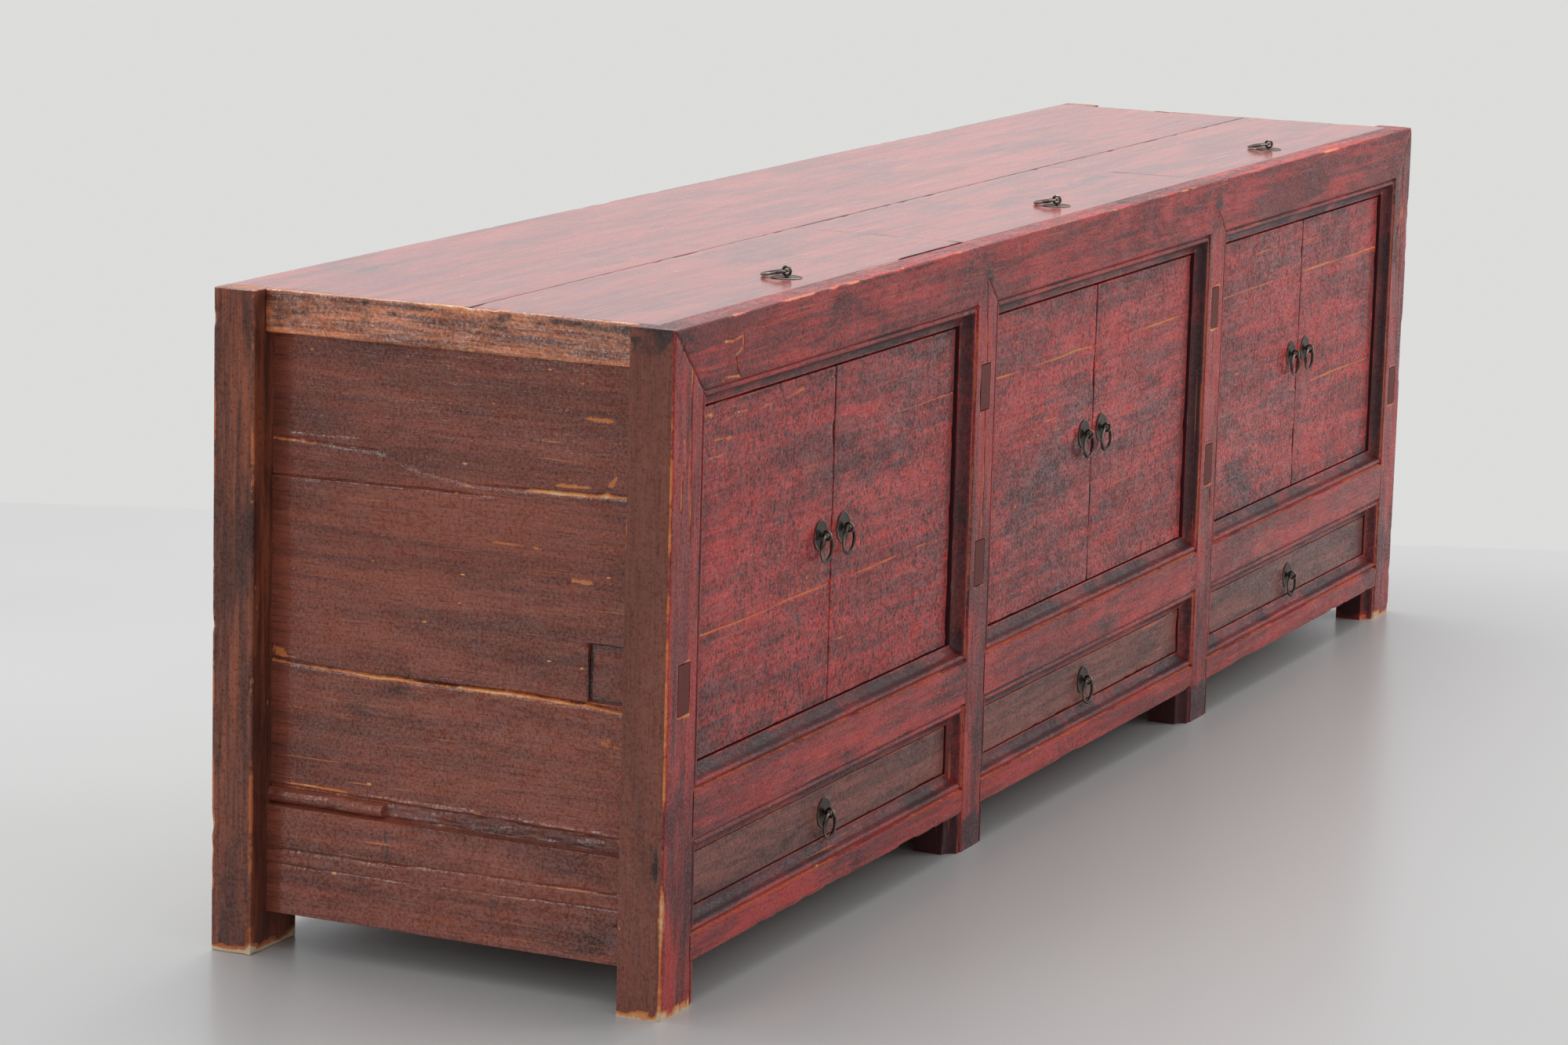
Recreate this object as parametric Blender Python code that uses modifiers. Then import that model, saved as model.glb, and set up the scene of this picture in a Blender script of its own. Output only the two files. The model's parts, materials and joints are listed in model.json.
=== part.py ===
"""Long low sideboard in three bays, each with a pair of doors, a drawer below and a lift-off lid above.

Metres, +Z up. The origin lies on the floor under the middle of the cabinet. X runs along its
length and the doors face -Y. "Depth" below is measured back from the front faces of the posts.
"""

import math

import bmesh
import bpy
from mathutils import Vector

# Overall size of the cabinet, without its ring pulls
LENGTH = 2.300
DEPTH = 0.510
HEIGHT = 0.680
BAYS = 3

# Clearances
SEAT_GAP = 0.0003
OVERRUN = 0.010
ARRIS = 0.0008

# Front frame: plain faces, and the moulding worked round every opening
END_FLAT = 0.064
MIDDLE_FLAT = 0.053
TOP_FLAT = 0.064
SILL_FLAT = 0.048
BOTTOM_FLAT = 0.027
POST_DEPTH = 0.048
LEG_CLEAR = 0.045
DRAWER_OPENING = 0.056
GROOVE_WIDTH = 0.0025
GROOVE_DEPTH = 0.0035
BEAD_WIDTH = 0.0065
BEAD_STEPS = 4
BEAD_DROP = 0.0008
MOULDING_WIDTH = 0.021
MOULDING_DEPTH = 0.013
COVE_STEPS = 4

# Back posts, end panels and end rails
BACK_POST_WIDTH = 0.090
BACK_POST_DEPTH = 0.047
END_PANEL_SETBACK = 0.038
END_PANEL_THICK = 0.016
END_PANEL_SEAT = 0.008
END_PANEL_FOOT = 0.040
LOWER_BOARD_PROUD = 0.007
LOWER_BOARD_TOP = 0.153
LEDGE_TOP = 0.171
LEDGE_BEAD_RADIUS = 0.006
LEDGE_BEAD_LENGTH = 0.135
END_RAIL_SETBACK = 0.020
END_RAIL_THICK = 0.040
END_RAIL_DROP = 0.044
END_RAIL_LIP = 0.005

# Cross rails in the end panels and partitions, whose tenons show on the front posts
TENON_WIDTH = 0.025
TENON_HEIGHT = 0.050
TENON_COVER = 0.004
LOW_TENON_RISE = 0.061
HIGH_TENON_DROP = 0.048
END_TENON_MIDDLE = 0.036

# Inner boards
PARTITION_THICK = 0.016
BACK_PANEL_THICK = 0.014
BACK_PANEL_INSET = 0.006
BOARD_SEAT = 0.006
FLOOR_THICK = 0.014
FLOOR_BELOW_SILL = 0.003
DECK_THICK = 0.012
GUIDE_HEIGHT = 0.015
LEDGE_REACH = 0.012
LEDGE_HEIGHT = 0.020
LEDGE_ROOT = 0.006

# Top: a strip of the front rail, three lids, and one fixed board behind them
TOP_STRIP = 0.029
TOP_THICK = 0.018
LID_BACK = 0.236
LID_GAP = 0.0010
BEARER_WIDTH = 0.040
BEARER_HEIGHT = 0.020
BEARER_SEAT = 0.010

# Doors
DOOR_REVEAL = 0.0015
DOOR_THICK = 0.018
DOOR_SIDE_GAP = 0.0015
DOOR_TOP_GAP = 0.0025
DOOR_FOOT_GAP = 0.0010
DOOR_MEETING_GAP = 0.0020
DOOR_EDGE_STEPS = 8
PIVOT_RADIUS = 0.006
PIVOT_CLEAR = 0.0005
PIVOT_SIDES = 16
TOP_PIVOT = 0.013
FOOT_PIVOT = 0.010
PIVOT_END_GAP = 0.0010
TOP_PIVOT_HOLE = TOP_PIVOT + PIVOT_END_GAP - DOOR_TOP_GAP
FOOT_PIVOT_HOLE = FOOT_PIVOT + PIVOT_END_GAP - DOOR_FOOT_GAP

# Drawers
DRAWER_SIDE_GAP = 0.0015
DRAWER_TOP_GAP = 0.0020
DRAWER_BACK_GAP = 0.0455
DRAWER_FRONT_THICK = 0.014
DRAWER_WALL = 0.010
DRAWER_BOTTOM = 0.006
DRAWER_SIDE_DROP = 0.007

# Ring pulls: a round plate, a split-pin eye through it, and a ring
PLATE_RADIUS = 0.0165
PLATE_THICK = 0.0012
PLATE_SIDES = 20
EYE_RADIUS = 0.0045
EYE_WIRE = 0.0018
EYE_SINK = 0.0004
EYE_SEGMENTS = 12
EYE_SIDES = 6
SHANK_RADIUS = 0.0017
SHANK_CLEAR = 0.0004
SHANK_SIDES = 8
CLINCH_LENGTH = 0.022
CLINCH_WIDTH = 0.0030
CLINCH_THICK = 0.0012
RING_RADIUS = 0.0135
RING_WIRE = 0.0019
RING_DROP = 0.0003
RING_SEGMENTS = 20
RING_SIDES = 8
DOOR_PULL_RISE = 0.003
DOOR_PULL_SPREAD = 0.028
LID_PULL_DEPTH = 0.070

# Heights that follow from the frame
DRAWER_LOW = LEG_CLEAR + BOTTOM_FLAT + MOULDING_WIDTH
DRAWER_HIGH = DRAWER_LOW + DRAWER_OPENING
SILL_LOW = DRAWER_HIGH + MOULDING_WIDTH
SILL_HIGH = SILL_LOW + SILL_FLAT
DOOR_LOW = SILL_HIGH + MOULDING_WIDTH
DOOR_HIGH = HEIGHT - TOP_FLAT - MOULDING_WIDTH
BOARDS_LOW = HEIGHT - TOP_THICK
CARRIED_HIGH = BOARDS_LOW - SEAT_GAP
PANEL_HIGH = HEIGHT - END_RAIL_DROP - SEAT_GAP
FLOOR_HIGH = DOOR_LOW - FLOOR_BELOW_SILL
FLOOR_LOW = FLOOR_HIGH - FLOOR_THICK
DECK_HIGH = DRAWER_LOW
DECK_LOW = DECK_HIGH - DECK_THICK
GUIDE_HIGH = DECK_HIGH + GUIDE_HEIGHT
LOW_TENON = DOOR_LOW + LOW_TENON_RISE
HIGH_TENON = DOOR_HIGH - HIGH_TENON_DROP - TENON_HEIGHT
DOOR_PULL_HEIGHT = (DOOR_LOW + DOOR_HIGH) / 2 + DOOR_PULL_RISE

# Places along the length and depth that follow from the frame
HALF = LENGTH / 2
FRONT = -DEPTH / 2
BACK = DEPTH / 2
BAY = (LENGTH - 2 * END_FLAT - (BAYS - 1) * MIDDLE_FLAT) / BAYS
BAY_PITCH = BAY + MIDDLE_FLAT
OPENING = BAY - 2 * MOULDING_WIDTH
MIDDLE_WIDTH = MIDDLE_FLAT + 2 * MOULDING_WIDTH
END_WIDTH = END_FLAT + MOULDING_WIDTH
BEHIND_POSTS = FRONT + POST_DEPTH + SEAT_GAP
BEFORE_BACK_POSTS = BACK - BACK_POST_DEPTH - SEAT_GAP
BACK_PANEL_FRONT = BACK - BACK_PANEL_INSET - BACK_PANEL_THICK
PANEL_INNER = HALF - END_PANEL_SETBACK - END_PANEL_THICK
BOARDS_END = HALF - END_RAIL_SETBACK - END_RAIL_LIP
END_TENON = POST_DEPTH - TENON_COVER
RECESS = MOULDING_DEPTH + DOOR_REVEAL
DRAWER_LENGTH = BACK_PANEL_FRONT - DRAWER_BACK_GAP - FRONT - RECESS
PIVOT_DEPTH = RECESS + DOOR_THICK / 2

BAY_NAMES = ("left", "middle", "right")

FURNITURE = None
TOOLS = None


def clear_scene():
    """Empty the scene and start one collection for the sideboard and one for its cutters."""
    global FURNITURE, TOOLS
    for thing in list(bpy.data.objects):
        bpy.data.objects.remove(thing, do_unlink=True)
    FURNITURE = bpy.data.collections.new("sideboard")
    TOOLS = bpy.data.collections.new("cutters")
    for collection in (FURNITURE, TOOLS):
        bpy.context.scene.collection.children.link(collection)


def finish(name, colour, roughness, metallic=0.0):
    """One plain material for one sub-part."""
    material = bpy.data.materials.new(name)
    material.use_nodes = True
    shader = material.node_tree.nodes["Principled BSDF"]
    shader.inputs["Base Color"].default_value = (*colour, 1.0)
    shader.inputs["Roughness"].default_value = roughness
    shader.inputs["Metallic"].default_value = metallic
    return material


def red_lacquer(name):
    return finish(name, (0.230, 0.045, 0.038), 0.42)


def brown_lacquer(name):
    return finish(name, (0.110, 0.040, 0.030), 0.40)


def drawer_lacquer(name):
    return finish(name, (0.120, 0.060, 0.048), 0.50)


def top_lacquer(name):
    return finish(name, (0.300, 0.130, 0.120), 0.35)


def bare_wood(name):
    return finish(name, (0.330, 0.200, 0.110), 0.70)


def dark_iron(name):
    return finish(name, (0.090, 0.078, 0.065), 0.38, 0.9)


def add_object(name, geometry, coat=None):
    """Make an object of a bmesh: a sub-part when it has a coat, and else a hidden cutter."""
    bmesh.ops.recalc_face_normals(geometry, faces=geometry.faces)
    mesh = bpy.data.meshes.new(name)
    geometry.to_mesh(mesh)
    geometry.free()
    thing = bpy.data.objects.new(name, mesh)
    if coat is None:
        TOOLS.objects.link(thing)
        thing.hide_render = True
        thing.display_type = "WIRE"
    else:
        mesh.materials.append(coat(name))
        FURNITURE.objects.link(thing)
    return thing


def box(name, spans, coat=None):
    """A cuboid from three (low, high) spans, one for each axis."""
    geometry = bmesh.new()
    bmesh.ops.create_cube(geometry, size=1)
    sizes = [high - low for low, high in spans]
    middles = [(low + high) / 2 for low, high in spans]
    bmesh.ops.scale(geometry, vec=sizes, verts=geometry.verts)
    bmesh.ops.translate(geometry, vec=middles, verts=geometry.verts)
    return add_object(name, geometry, coat)


def prism(name, outline, reach, coat=None):
    """A flat outline of points carried along a straight reach."""
    geometry = bmesh.new()
    face = geometry.faces.new([geometry.verts.new(point) for point in outline])
    swept = bmesh.ops.extrude_face_region(geometry, geom=[face])
    moved = [part for part in swept["geom"] if isinstance(part, bmesh.types.BMVert)]
    bmesh.ops.translate(geometry, vec=reach, verts=moved)
    return add_object(name, geometry, coat)


def rod(name, middle, direction, radius, length, sides, coat=None):
    """A round rod of a given length about its middle point, along a direction."""
    geometry = bmesh.new()
    bmesh.ops.create_cone(
        geometry, cap_ends=True, segments=sides, radius1=radius, radius2=radius, depth=length
    )
    turn = Vector((0, 0, 1)).rotation_difference(Vector(direction)).to_matrix()
    bmesh.ops.rotate(geometry, cent=(0, 0, 0), matrix=turn, verts=geometry.verts)
    bmesh.ops.translate(geometry, vec=middle, verts=geometry.verts)
    return add_object(name, geometry, coat)


def boolean(thing, other, operation):
    step = thing.modifiers.new(operation.lower(), "BOOLEAN")
    step.operation = operation
    step.object = other
    step.solver = "EXACT"


def cut(thing, *cutters):
    for cutter in cutters:
        boolean(thing, cutter, "DIFFERENCE")


def join(thing, *others):
    for other in others:
        boolean(thing, other, "UNION")


def ease_edges(thing):
    """Take the sharpness off a board's long edges."""
    step = thing.modifiers.new("eased edges", "BEVEL")
    step.width = ARRIS
    step.segments = 1
    step.limit_method = "ANGLE"


def widened(spans, gap=SEAT_GAP):
    return [(low - gap, high + gap) for low, high in spans]


def seat_for(name, spans):
    """A cutter for the seat of a board with these spans, a seat gap wider all round."""
    return box(name, widened(spans))


def depths(near, far):
    """A span along Y from two depths behind the front."""
    return (FRONT + near, FRONT + far)


def grown(outline, gap):
    """A closed outline of (x, z) points with every side moved outwards by a gap.

    A corner moves along the sum of its two sides' unit normals, over one plus their product.
    """
    area = sum(a[0] * b[1] - b[0] * a[1] for a, b in zip(outline, outline[1:] + outline[:1]))
    outward = math.copysign(gap, area)
    corners = []
    for before, here, after in zip(outline[-1:] + outline[:-1], outline, outline[1:] + outline[:1]):
        normals = []
        for start, end in ((before, here), (here, after)):
            along = Vector(end) - Vector(start)
            normals.append(Vector((along.y, -along.x)).normalized())
        both = (normals[0] + normals[1]) / (1 + normals[0].dot(normals[1]))
        corners.append(Vector(here) + outward * both)
    return [tuple(corner) for corner in corners]


def front_prism(name, outline, near, far, coat=None):
    """An outline of (x, z) points carried back from one depth to another."""
    points = [(x, FRONT + near, z) for x, z in outline]
    return prism(name, points, (0, far - near, 0), coat)


def moulding_outline():
    """(inset, depth) pairs from the plain face to the opening: a groove, a bead and a cove."""
    pairs = [(0, -OVERRUN), (0, GROOVE_DEPTH), (GROOVE_WIDTH, GROOVE_DEPTH)]
    bead_middle = GROOVE_WIDTH + BEAD_WIDTH / 2
    for step in range(1, BEAD_STEPS):
        angle = math.pi * step / BEAD_STEPS
        inset = bead_middle - BEAD_WIDTH / 2 * math.cos(angle)
        pairs.append((inset, GROOVE_DEPTH - (GROOVE_DEPTH - BEAD_DROP) * math.sin(angle)))
    cove_width = MOULDING_WIDTH - GROOVE_WIDTH - BEAD_WIDTH
    for step in range(COVE_STEPS + 1):
        angle = math.pi / 2 * step / COVE_STEPS
        inset = MOULDING_WIDTH - cove_width * math.cos(angle)
        pairs.append((inset, GROOVE_DEPTH + (MOULDING_DEPTH - GROOVE_DEPTH) * math.sin(angle)))
    pairs.append((MOULDING_WIDTH, POST_DEPTH + OVERRUN))
    return pairs


def moulded_opening(name, wide, high, all_round=True):
    """A cutter of rectangles nested one behind another, each set in by the moulding's outline.

    The moulding runs down both sides, and all round unless told otherwise.
    """
    geometry = bmesh.new()
    pairs = moulding_outline()
    middle = sum(wide) / 2
    level = sum(high) / 2
    start = FRONT + pairs[0][1]
    corners = [(wide[0], high[0]), (wide[1], high[0]), (wide[1], high[1]), (wide[0], high[1])]
    face = geometry.faces.new([geometry.verts.new((x, start, z)) for x, z in corners])
    for number, (inset, depth) in enumerate(pairs[1:]):
        swept = bmesh.ops.extrude_face_region(geometry, geom=[face])["geom"]
        if number:
            bmesh.ops.delete(geometry, geom=[face], context="FACES_ONLY")
        face = next(part for part in swept if isinstance(part, bmesh.types.BMFace))
        for vert in face.verts:
            rise = inset if all_round else 0
            vert.co.x = wide[0] + inset if vert.co.x < middle else wide[1] - inset
            vert.co.z = high[0] + rise if vert.co.z < level else high[1] - rise
            vert.co.y = FRONT + depth
    return add_object(name, geometry)


def bay_middle(bay):
    return (bay - (BAYS - 1) / 2) * BAY_PITCH


def bay_span(bay, inset=0.0):
    """The bay's span between the plain faces of its posts, or less an inset each side."""
    return (bay_middle(bay) - BAY / 2 + inset, bay_middle(bay) + BAY / 2 - inset)


def opening_span(bay):
    return bay_span(bay, MOULDING_WIDTH)


def post_middle(post):
    """The middle of the plain face between bay number post and the next one."""
    return bay_middle(post) + BAY_PITCH / 2


def rail_outline(bay, low, high, moulded_below):
    """A rail's face: its plain band meets the posts, and its moulded bands are mitred at 45 degrees."""
    near, far = bay_span(bay)
    inner_near, inner_far = opening_span(bay)
    below, above = low - MOULDING_WIDTH, high + MOULDING_WIDTH
    outline = [(near, low)]
    if moulded_below:
        outline += [(inner_near, below), (inner_far, below)]
    outline += [(far, low), (far, high), (inner_far, above), (inner_near, above), (near, high)]
    return outline


def top_rail_outline():
    """The top rail's face: mitred on the end posts, with a notch for each middle post's point."""
    outline = [(HALF, HEIGHT), (-HALF, HEIGHT), (END_FLAT - HALF, DOOR_HIGH + MOULDING_WIDTH)]
    for bay in range(BAYS):
        near, far = opening_span(bay)
        outline += [(near, DOOR_HIGH), (far, DOOR_HIGH)]
        if bay < BAYS - 1:
            outline.append((post_middle(bay), DOOR_HIGH + MIDDLE_WIDTH / 2))
    outline.append((HALF - END_FLAT, DOOR_HIGH + MOULDING_WIDTH))
    return outline


def make_openings():
    """Cutters for the moulded door and drawer openings, and for the gaps between the feet."""
    door_high = (SILL_HIGH, DOOR_HIGH + MOULDING_WIDTH)
    drawer_high = (DRAWER_LOW - MOULDING_WIDTH, SILL_LOW)
    openings = []
    for bay in range(BAYS):
        wide = bay_span(bay)
        door = moulded_opening(f"door opening {bay}", wide, door_high)
        drawer = moulded_opening(f"drawer opening {bay}", wide, drawer_high)
        feet = moulded_opening(f"foot gap {bay}", wide, (-OVERRUN, LEG_CLEAR), all_round=False)
        openings.append((door, drawer, feet))
    return openings


def lids_span():
    """The whole of the top behind the front rail's strip."""
    return [(-BOARDS_END, BOARDS_END), depths(TOP_STRIP, DEPTH), (BOARDS_LOW, HEIGHT)]


def make_top_rail(openings, grooves):
    rail = front_prism("front_top_rail", top_rail_outline(), 0, POST_DEPTH, red_lacquer)
    spans = lids_span()
    rebate = box("rebate for the lids", [*widened(spans[:2]), (CARRIED_HIGH, HEIGHT + OVERRUN)])
    cut(rail, rebate, *(upper for upper, lower in grooves.values()))
    for bay in range(BAYS):
        cut(rail, openings[bay][0])
        for side in (-1, 1):
            cut(rail, pivot_hole(bay, side, DOOR_HIGH - OVERRUN, DOOR_HIGH + TOP_PIVOT_HOLE))


def pivot_x(bay, side):
    """A door's pivot stands half the door's thickness in from the door's edge."""
    edge = bay_middle(bay) + side * (OPENING / 2 - DOOR_SIDE_GAP)
    return edge - side * DOOR_THICK / 2


def pivot_hole(bay, side, low, high):
    """A cutter for the hole that a door's pivot pin turns in."""
    name = f"pivot hole {bay} {side} {low:.3f}"
    middle = (pivot_x(bay, side), FRONT + PIVOT_DEPTH, (low + high) / 2)
    return rod(name, middle, (0, 0, 1), PIVOT_RADIUS + PIVOT_CLEAR, high - low, PIVOT_SIDES)


def ledge(name, bay, board_low):
    """The step on the back of a rail that carries a board's front edge."""
    high = board_low - SEAT_GAP
    across = depths(POST_DEPTH - LEDGE_ROOT, POST_DEPTH + LEDGE_REACH)
    return box(name, [opening_span(bay), across, (high - LEDGE_HEIGHT, high)])


def make_sill_rail(bay, openings):
    outline = rail_outline(bay, SILL_LOW, SILL_HIGH, True)
    rail = front_prism(f"sill_rail_{BAY_NAMES[bay]}", outline, 0, POST_DEPTH, red_lacquer)
    join(rail, ledge(f"floor ledge {bay}", bay, FLOOR_LOW))
    cut(rail, *openings[bay][:2])
    for side in (-1, 1):
        cut(rail, pivot_hole(bay, side, DOOR_LOW - FOOT_PIVOT_HOLE, DOOR_LOW + OVERRUN))


def make_bottom_rail(bay, openings):
    outline = rail_outline(bay, LEG_CLEAR, LEG_CLEAR + BOTTOM_FLAT, False)
    rail = front_prism(f"bottom_rail_{BAY_NAMES[bay]}", outline, 0, POST_DEPTH, red_lacquer)
    join(rail, ledge(f"deck ledge {bay}", bay, DECK_LOW))
    cut(rail, openings[bay][1])


def rail_seats():
    """Cutters that let the rails into the posts, a seat gap larger than the rails all round."""
    back = POST_DEPTH + OVERRUN
    seats = [front_prism("top rail seat", grown(top_rail_outline(), SEAT_GAP), -OVERRUN, back)]
    for bay in range(BAYS):
        sill = grown(rail_outline(bay, SILL_LOW, SILL_HIGH, True), SEAT_GAP)
        bottom = grown(rail_outline(bay, LEG_CLEAR, LEG_CLEAR + BOTTOM_FLAT, False), SEAT_GAP)
        seats.append(front_prism(f"sill seat {bay}", sill, -OVERRUN, back))
        seats.append(front_prism(f"bottom rail seat {bay}", bottom, -OVERRUN, back))
    return seats


def tenon_spans(middle, low, end):
    """A tenon from a front post's face back to a depth."""
    across = (middle - TENON_WIDTH / 2, middle + TENON_WIDTH / 2)
    return [across, depths(0, end), (low, low + TENON_HEIGHT)]


def mortise(middle, low, end):
    across, along, upright = widened(tenon_spans(middle, low, end))
    return box(f"mortise {middle:.3f} {low}", [across, (along[0] - OVERRUN, along[1]), upright])


def make_middle_post(post, openings, seats):
    middle = post_middle(post)
    wide = (middle - MIDDLE_WIDTH / 2, middle + MIDDLE_WIDTH / 2)
    thing = box(f"front_post_{post + 2}", [wide, depths(0, POST_DEPTH), (0, HEIGHT)], red_lacquer)
    top, around = seats[0], seats[1 + 2 * post : 5 + 2 * post]
    cut(thing, top, *around)
    cut(thing, *openings[post], *openings[post + 1])
    for low in (LOW_TENON, HIGH_TENON):
        cut(thing, mortise(middle, low, POST_DEPTH))


def end_panel_spans(side):
    """The end panel's box, let into grooves in both posts."""
    near, far = sorted((side * (HALF - END_PANEL_SETBACK), side * PANEL_INNER))
    along = (BEHIND_POSTS - END_PANEL_SEAT, BEFORE_BACK_POSTS + END_PANEL_SEAT)
    return [(near, far), along, (END_PANEL_FOOT, PANEL_HIGH)]


def panel_groove(side):
    """A cutter for both posts' grooves, as wide as the panel with its thicker lower board."""
    spans = end_panel_spans(side)
    proud = sorted((side * (HALF - END_PANEL_SETBACK + LOWER_BOARD_PROUD), side * PANEL_INNER))
    low_part = [proud, spans[1], (END_PANEL_FOOT, LEDGE_TOP)]
    return seat_for(f"panel groove {side}", spans), seat_for(f"low panel groove {side}", low_part)


def make_end_post(side, openings, seats, grooves):
    bay = 0 if side < 0 else BAYS - 1
    number = 1 if side < 0 else BAYS + 1
    wide = sorted((side * HALF, side * (HALF - END_WIDTH)))
    thing = box(f"front_post_{number}", [wide, depths(0, POST_DEPTH), (0, HEIGHT)], red_lacquer)
    ease_edges(thing)
    cut(thing, seats[0], *seats[1 + 2 * bay : 3 + 2 * bay])
    cut(thing, *openings[bay])
    cut(thing, mortise(side * (HALF - END_TENON_MIDDLE), LOW_TENON, END_TENON), *grooves)


def make_end_panel(side):
    """Upper boards, and a thicker lower board with the rest of a bead along its top edge."""
    name = "end_panel_left" if side < 0 else "end_panel_right"
    across, along, upright = end_panel_spans(side)
    face = HALF - END_PANEL_SETBACK
    outline = [
        (PANEL_INNER, upright[0]),
        (face + LOWER_BOARD_PROUD, upright[0]),
        (face + LOWER_BOARD_PROUD, LOWER_BOARD_TOP),
        (face, LEDGE_TOP),
        (face, upright[1]),
        (PANEL_INNER, upright[1]),
    ]
    points = [(side * x, along[0], z) for x, z in outline]
    panel = prism(name, points, (0, along[1] - along[0], 0), brown_lacquer)
    bead_y = BEFORE_BACK_POSTS - LEDGE_BEAD_LENGTH / 2
    bead_middle = (side * face, bead_y, (LOWER_BOARD_TOP + LEDGE_TOP) / 2)
    join(panel, rod(
        f"ledge bead {side}", bead_middle, (0, 1, 0), LEDGE_BEAD_RADIUS, LEDGE_BEAD_LENGTH, PIVOT_SIDES
    ))
    tenon = tenon_spans(side * (HALF - END_TENON_MIDDLE), LOW_TENON, END_TENON)
    join(panel, box(f"end tenon {side}", tenon))
    inner_rail = sorted((side * (PANEL_INNER - TENON_WIDTH / 2), side * (PANEL_INNER + OVERRUN)))
    rail_spans = [inner_rail, (BEHIND_POSTS, BEFORE_BACK_POSTS), tenon[2]]
    join(panel, box(f"end cross rail {side}", rail_spans))
    return panel


def make_end_rail(side, bearer_seat):
    """The rail over an end panel: a rebate carries the ends of the top boards, inside a thin lip."""
    name = "end_rail_left" if side < 0 else "end_rail_right"
    outer = HALF - END_RAIL_SETBACK
    inner = outer - END_RAIL_THICK
    lip = BOARDS_END + SEAT_GAP
    low = HEIGHT - END_RAIL_DROP
    outline = [(outer, low), (outer, HEIGHT), (lip, HEIGHT)]
    outline += [(lip, CARRIED_HIGH), (inner, CARRIED_HIGH), (inner, low)]
    points = [(side * x, BEHIND_POSTS, z) for x, z in outline]
    rail = prism(name, points, (0, BEFORE_BACK_POSTS - BEHIND_POSTS, 0), brown_lacquer)
    ease_edges(rail)
    cut(rail, bearer_seat)


def make_back_post(side, grooves, board_seat, panel_seat):
    name = "back_post_left" if side < 0 else "back_post_right"
    wide = sorted((side * HALF, side * (HALF - BACK_POST_WIDTH)))
    post = box(name, [wide, (BACK - BACK_POST_DEPTH, BACK), (0, HEIGHT)], brown_lacquer)
    ease_edges(post)
    cut(post, board_seat, panel_seat, *grooves)


def back_panel_spans():
    across = HALF - BACK_POST_WIDTH + BOARD_SEAT
    return [(-across, across), (BACK_PANEL_FRONT, BACK - BACK_PANEL_INSET), (LEG_CLEAR, CARRIED_HIGH)]


def shelf_spans(low, high):
    """A board from just behind the posts into grooves in the back and end panels."""
    across = PANEL_INNER + BOARD_SEAT
    return [(-across, across), (BEHIND_POSTS, BACK_PANEL_FRONT + BOARD_SEAT), (low, high)]


def partition_spans(post):
    middle = post_middle(post)
    across = (middle - PARTITION_THICK / 2, middle + PARTITION_THICK / 2)
    return [across, (BEHIND_POSTS, BACK_PANEL_FRONT + BOARD_SEAT), (GUIDE_HIGH + SEAT_GAP, CARRIED_HIGH)]


def halving_depth():
    return (BEHIND_POSTS + BACK_PANEL_FRONT) / 2


def make_floor(corner_cuts):
    spans = shelf_spans(FLOOR_LOW, FLOOR_HIGH)
    floor = box("cabinet_floor", spans, bare_wood)
    for post in range(BAYS - 1):
        across, along, upright = partition_spans(post)
        slot = (along[0] - OVERRUN, halving_depth() + SEAT_GAP)
        cut(floor, box(f"floor slot {post}", [*widened([across]), slot, upright]))
    cut(floor, *corner_cuts)


def make_partition(post, bearer_seat):
    """A partition with two cross rails, whose tenons pass through the front post."""
    spans = partition_spans(post)
    partition = box(f"partition_{post + 1}", spans, bare_wood)
    behind = (halving_depth() - SEAT_GAP, BACK)
    slot = [*widened(spans[:1]), behind, *widened([(FLOOR_LOW, FLOOR_HIGH)])]
    cut(partition, box(f"partition slot {post}", slot))
    cut(partition, bearer_seat)
    for low in (LOW_TENON, HIGH_TENON):
        rail = tenon_spans(post_middle(post), low, BACK_PANEL_FRONT - SEAT_GAP - FRONT)
        join(partition, box(f"cross rail {post} {low}", rail))


def make_deck(corner_cuts):
    """The board that the drawers slide on, with a guide strip between and beside them."""
    spans = shelf_spans(DECK_LOW, DECK_HIGH)
    deck = box("drawer_deck", spans, bare_wood)
    edges = [opening_span(bay) for bay in range(BAYS)]
    lows = [-PANEL_INNER + SEAT_GAP] + [high for low, high in edges]
    highs = [low for low, high in edges] + [PANEL_INNER - SEAT_GAP]
    for number, across in enumerate(zip(lows, highs)):
        along = (BEHIND_POSTS, BACK_PANEL_FRONT - SEAT_GAP)
        join(deck, box(f"guide {number}", [across, along, (DECK_LOW + DECK_THICK / 2, GUIDE_HIGH)]))
    cut(deck, *corner_cuts)


def make_top():
    """Three lids over the front part of the top, and one fixed board behind them."""
    span = 2 * BOARDS_END
    along = depths(TOP_STRIP + SEAT_GAP, LID_BACK - LID_GAP)
    for bay in range(BAYS):
        low = -BOARDS_END + span * bay / BAYS + LID_GAP / 2
        high = -BOARDS_END + span * (bay + 1) / BAYS - LID_GAP / 2
        lid = box(f"lid_{BAY_NAMES[bay]}", [(low, high), along, (BOARDS_LOW, HEIGHT)], top_lacquer)
        ease_edges(lid)
        cut(lid, shank_hole(lid_pull_place(bay), (0, 0, 1)))
    board = [(-BOARDS_END, BOARDS_END), depths(LID_BACK, DEPTH), (BOARDS_LOW, HEIGHT)]
    ease_edges(box("back_top_board", board, top_lacquer))


def bearer_spans():
    across = HALF - END_RAIL_SETBACK - END_RAIL_THICK + BEARER_SEAT
    along = depths(LID_BACK - BEARER_WIDTH / 2, LID_BACK + BEARER_WIDTH / 2)
    return [(-across, across), along, (CARRIED_HIGH - BEARER_HEIGHT, CARRIED_HIGH)]


def door_pull_place(bay, side):
    return (bay_middle(bay) + side * DOOR_PULL_SPREAD, FRONT + RECESS, DOOR_PULL_HEIGHT)


def drawer_pull_place(bay):
    low, high = DRAWER_LOW + SEAT_GAP, DRAWER_HIGH - DRAWER_TOP_GAP
    return (bay_middle(bay), FRONT + RECESS, (low + high) / 2)


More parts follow.
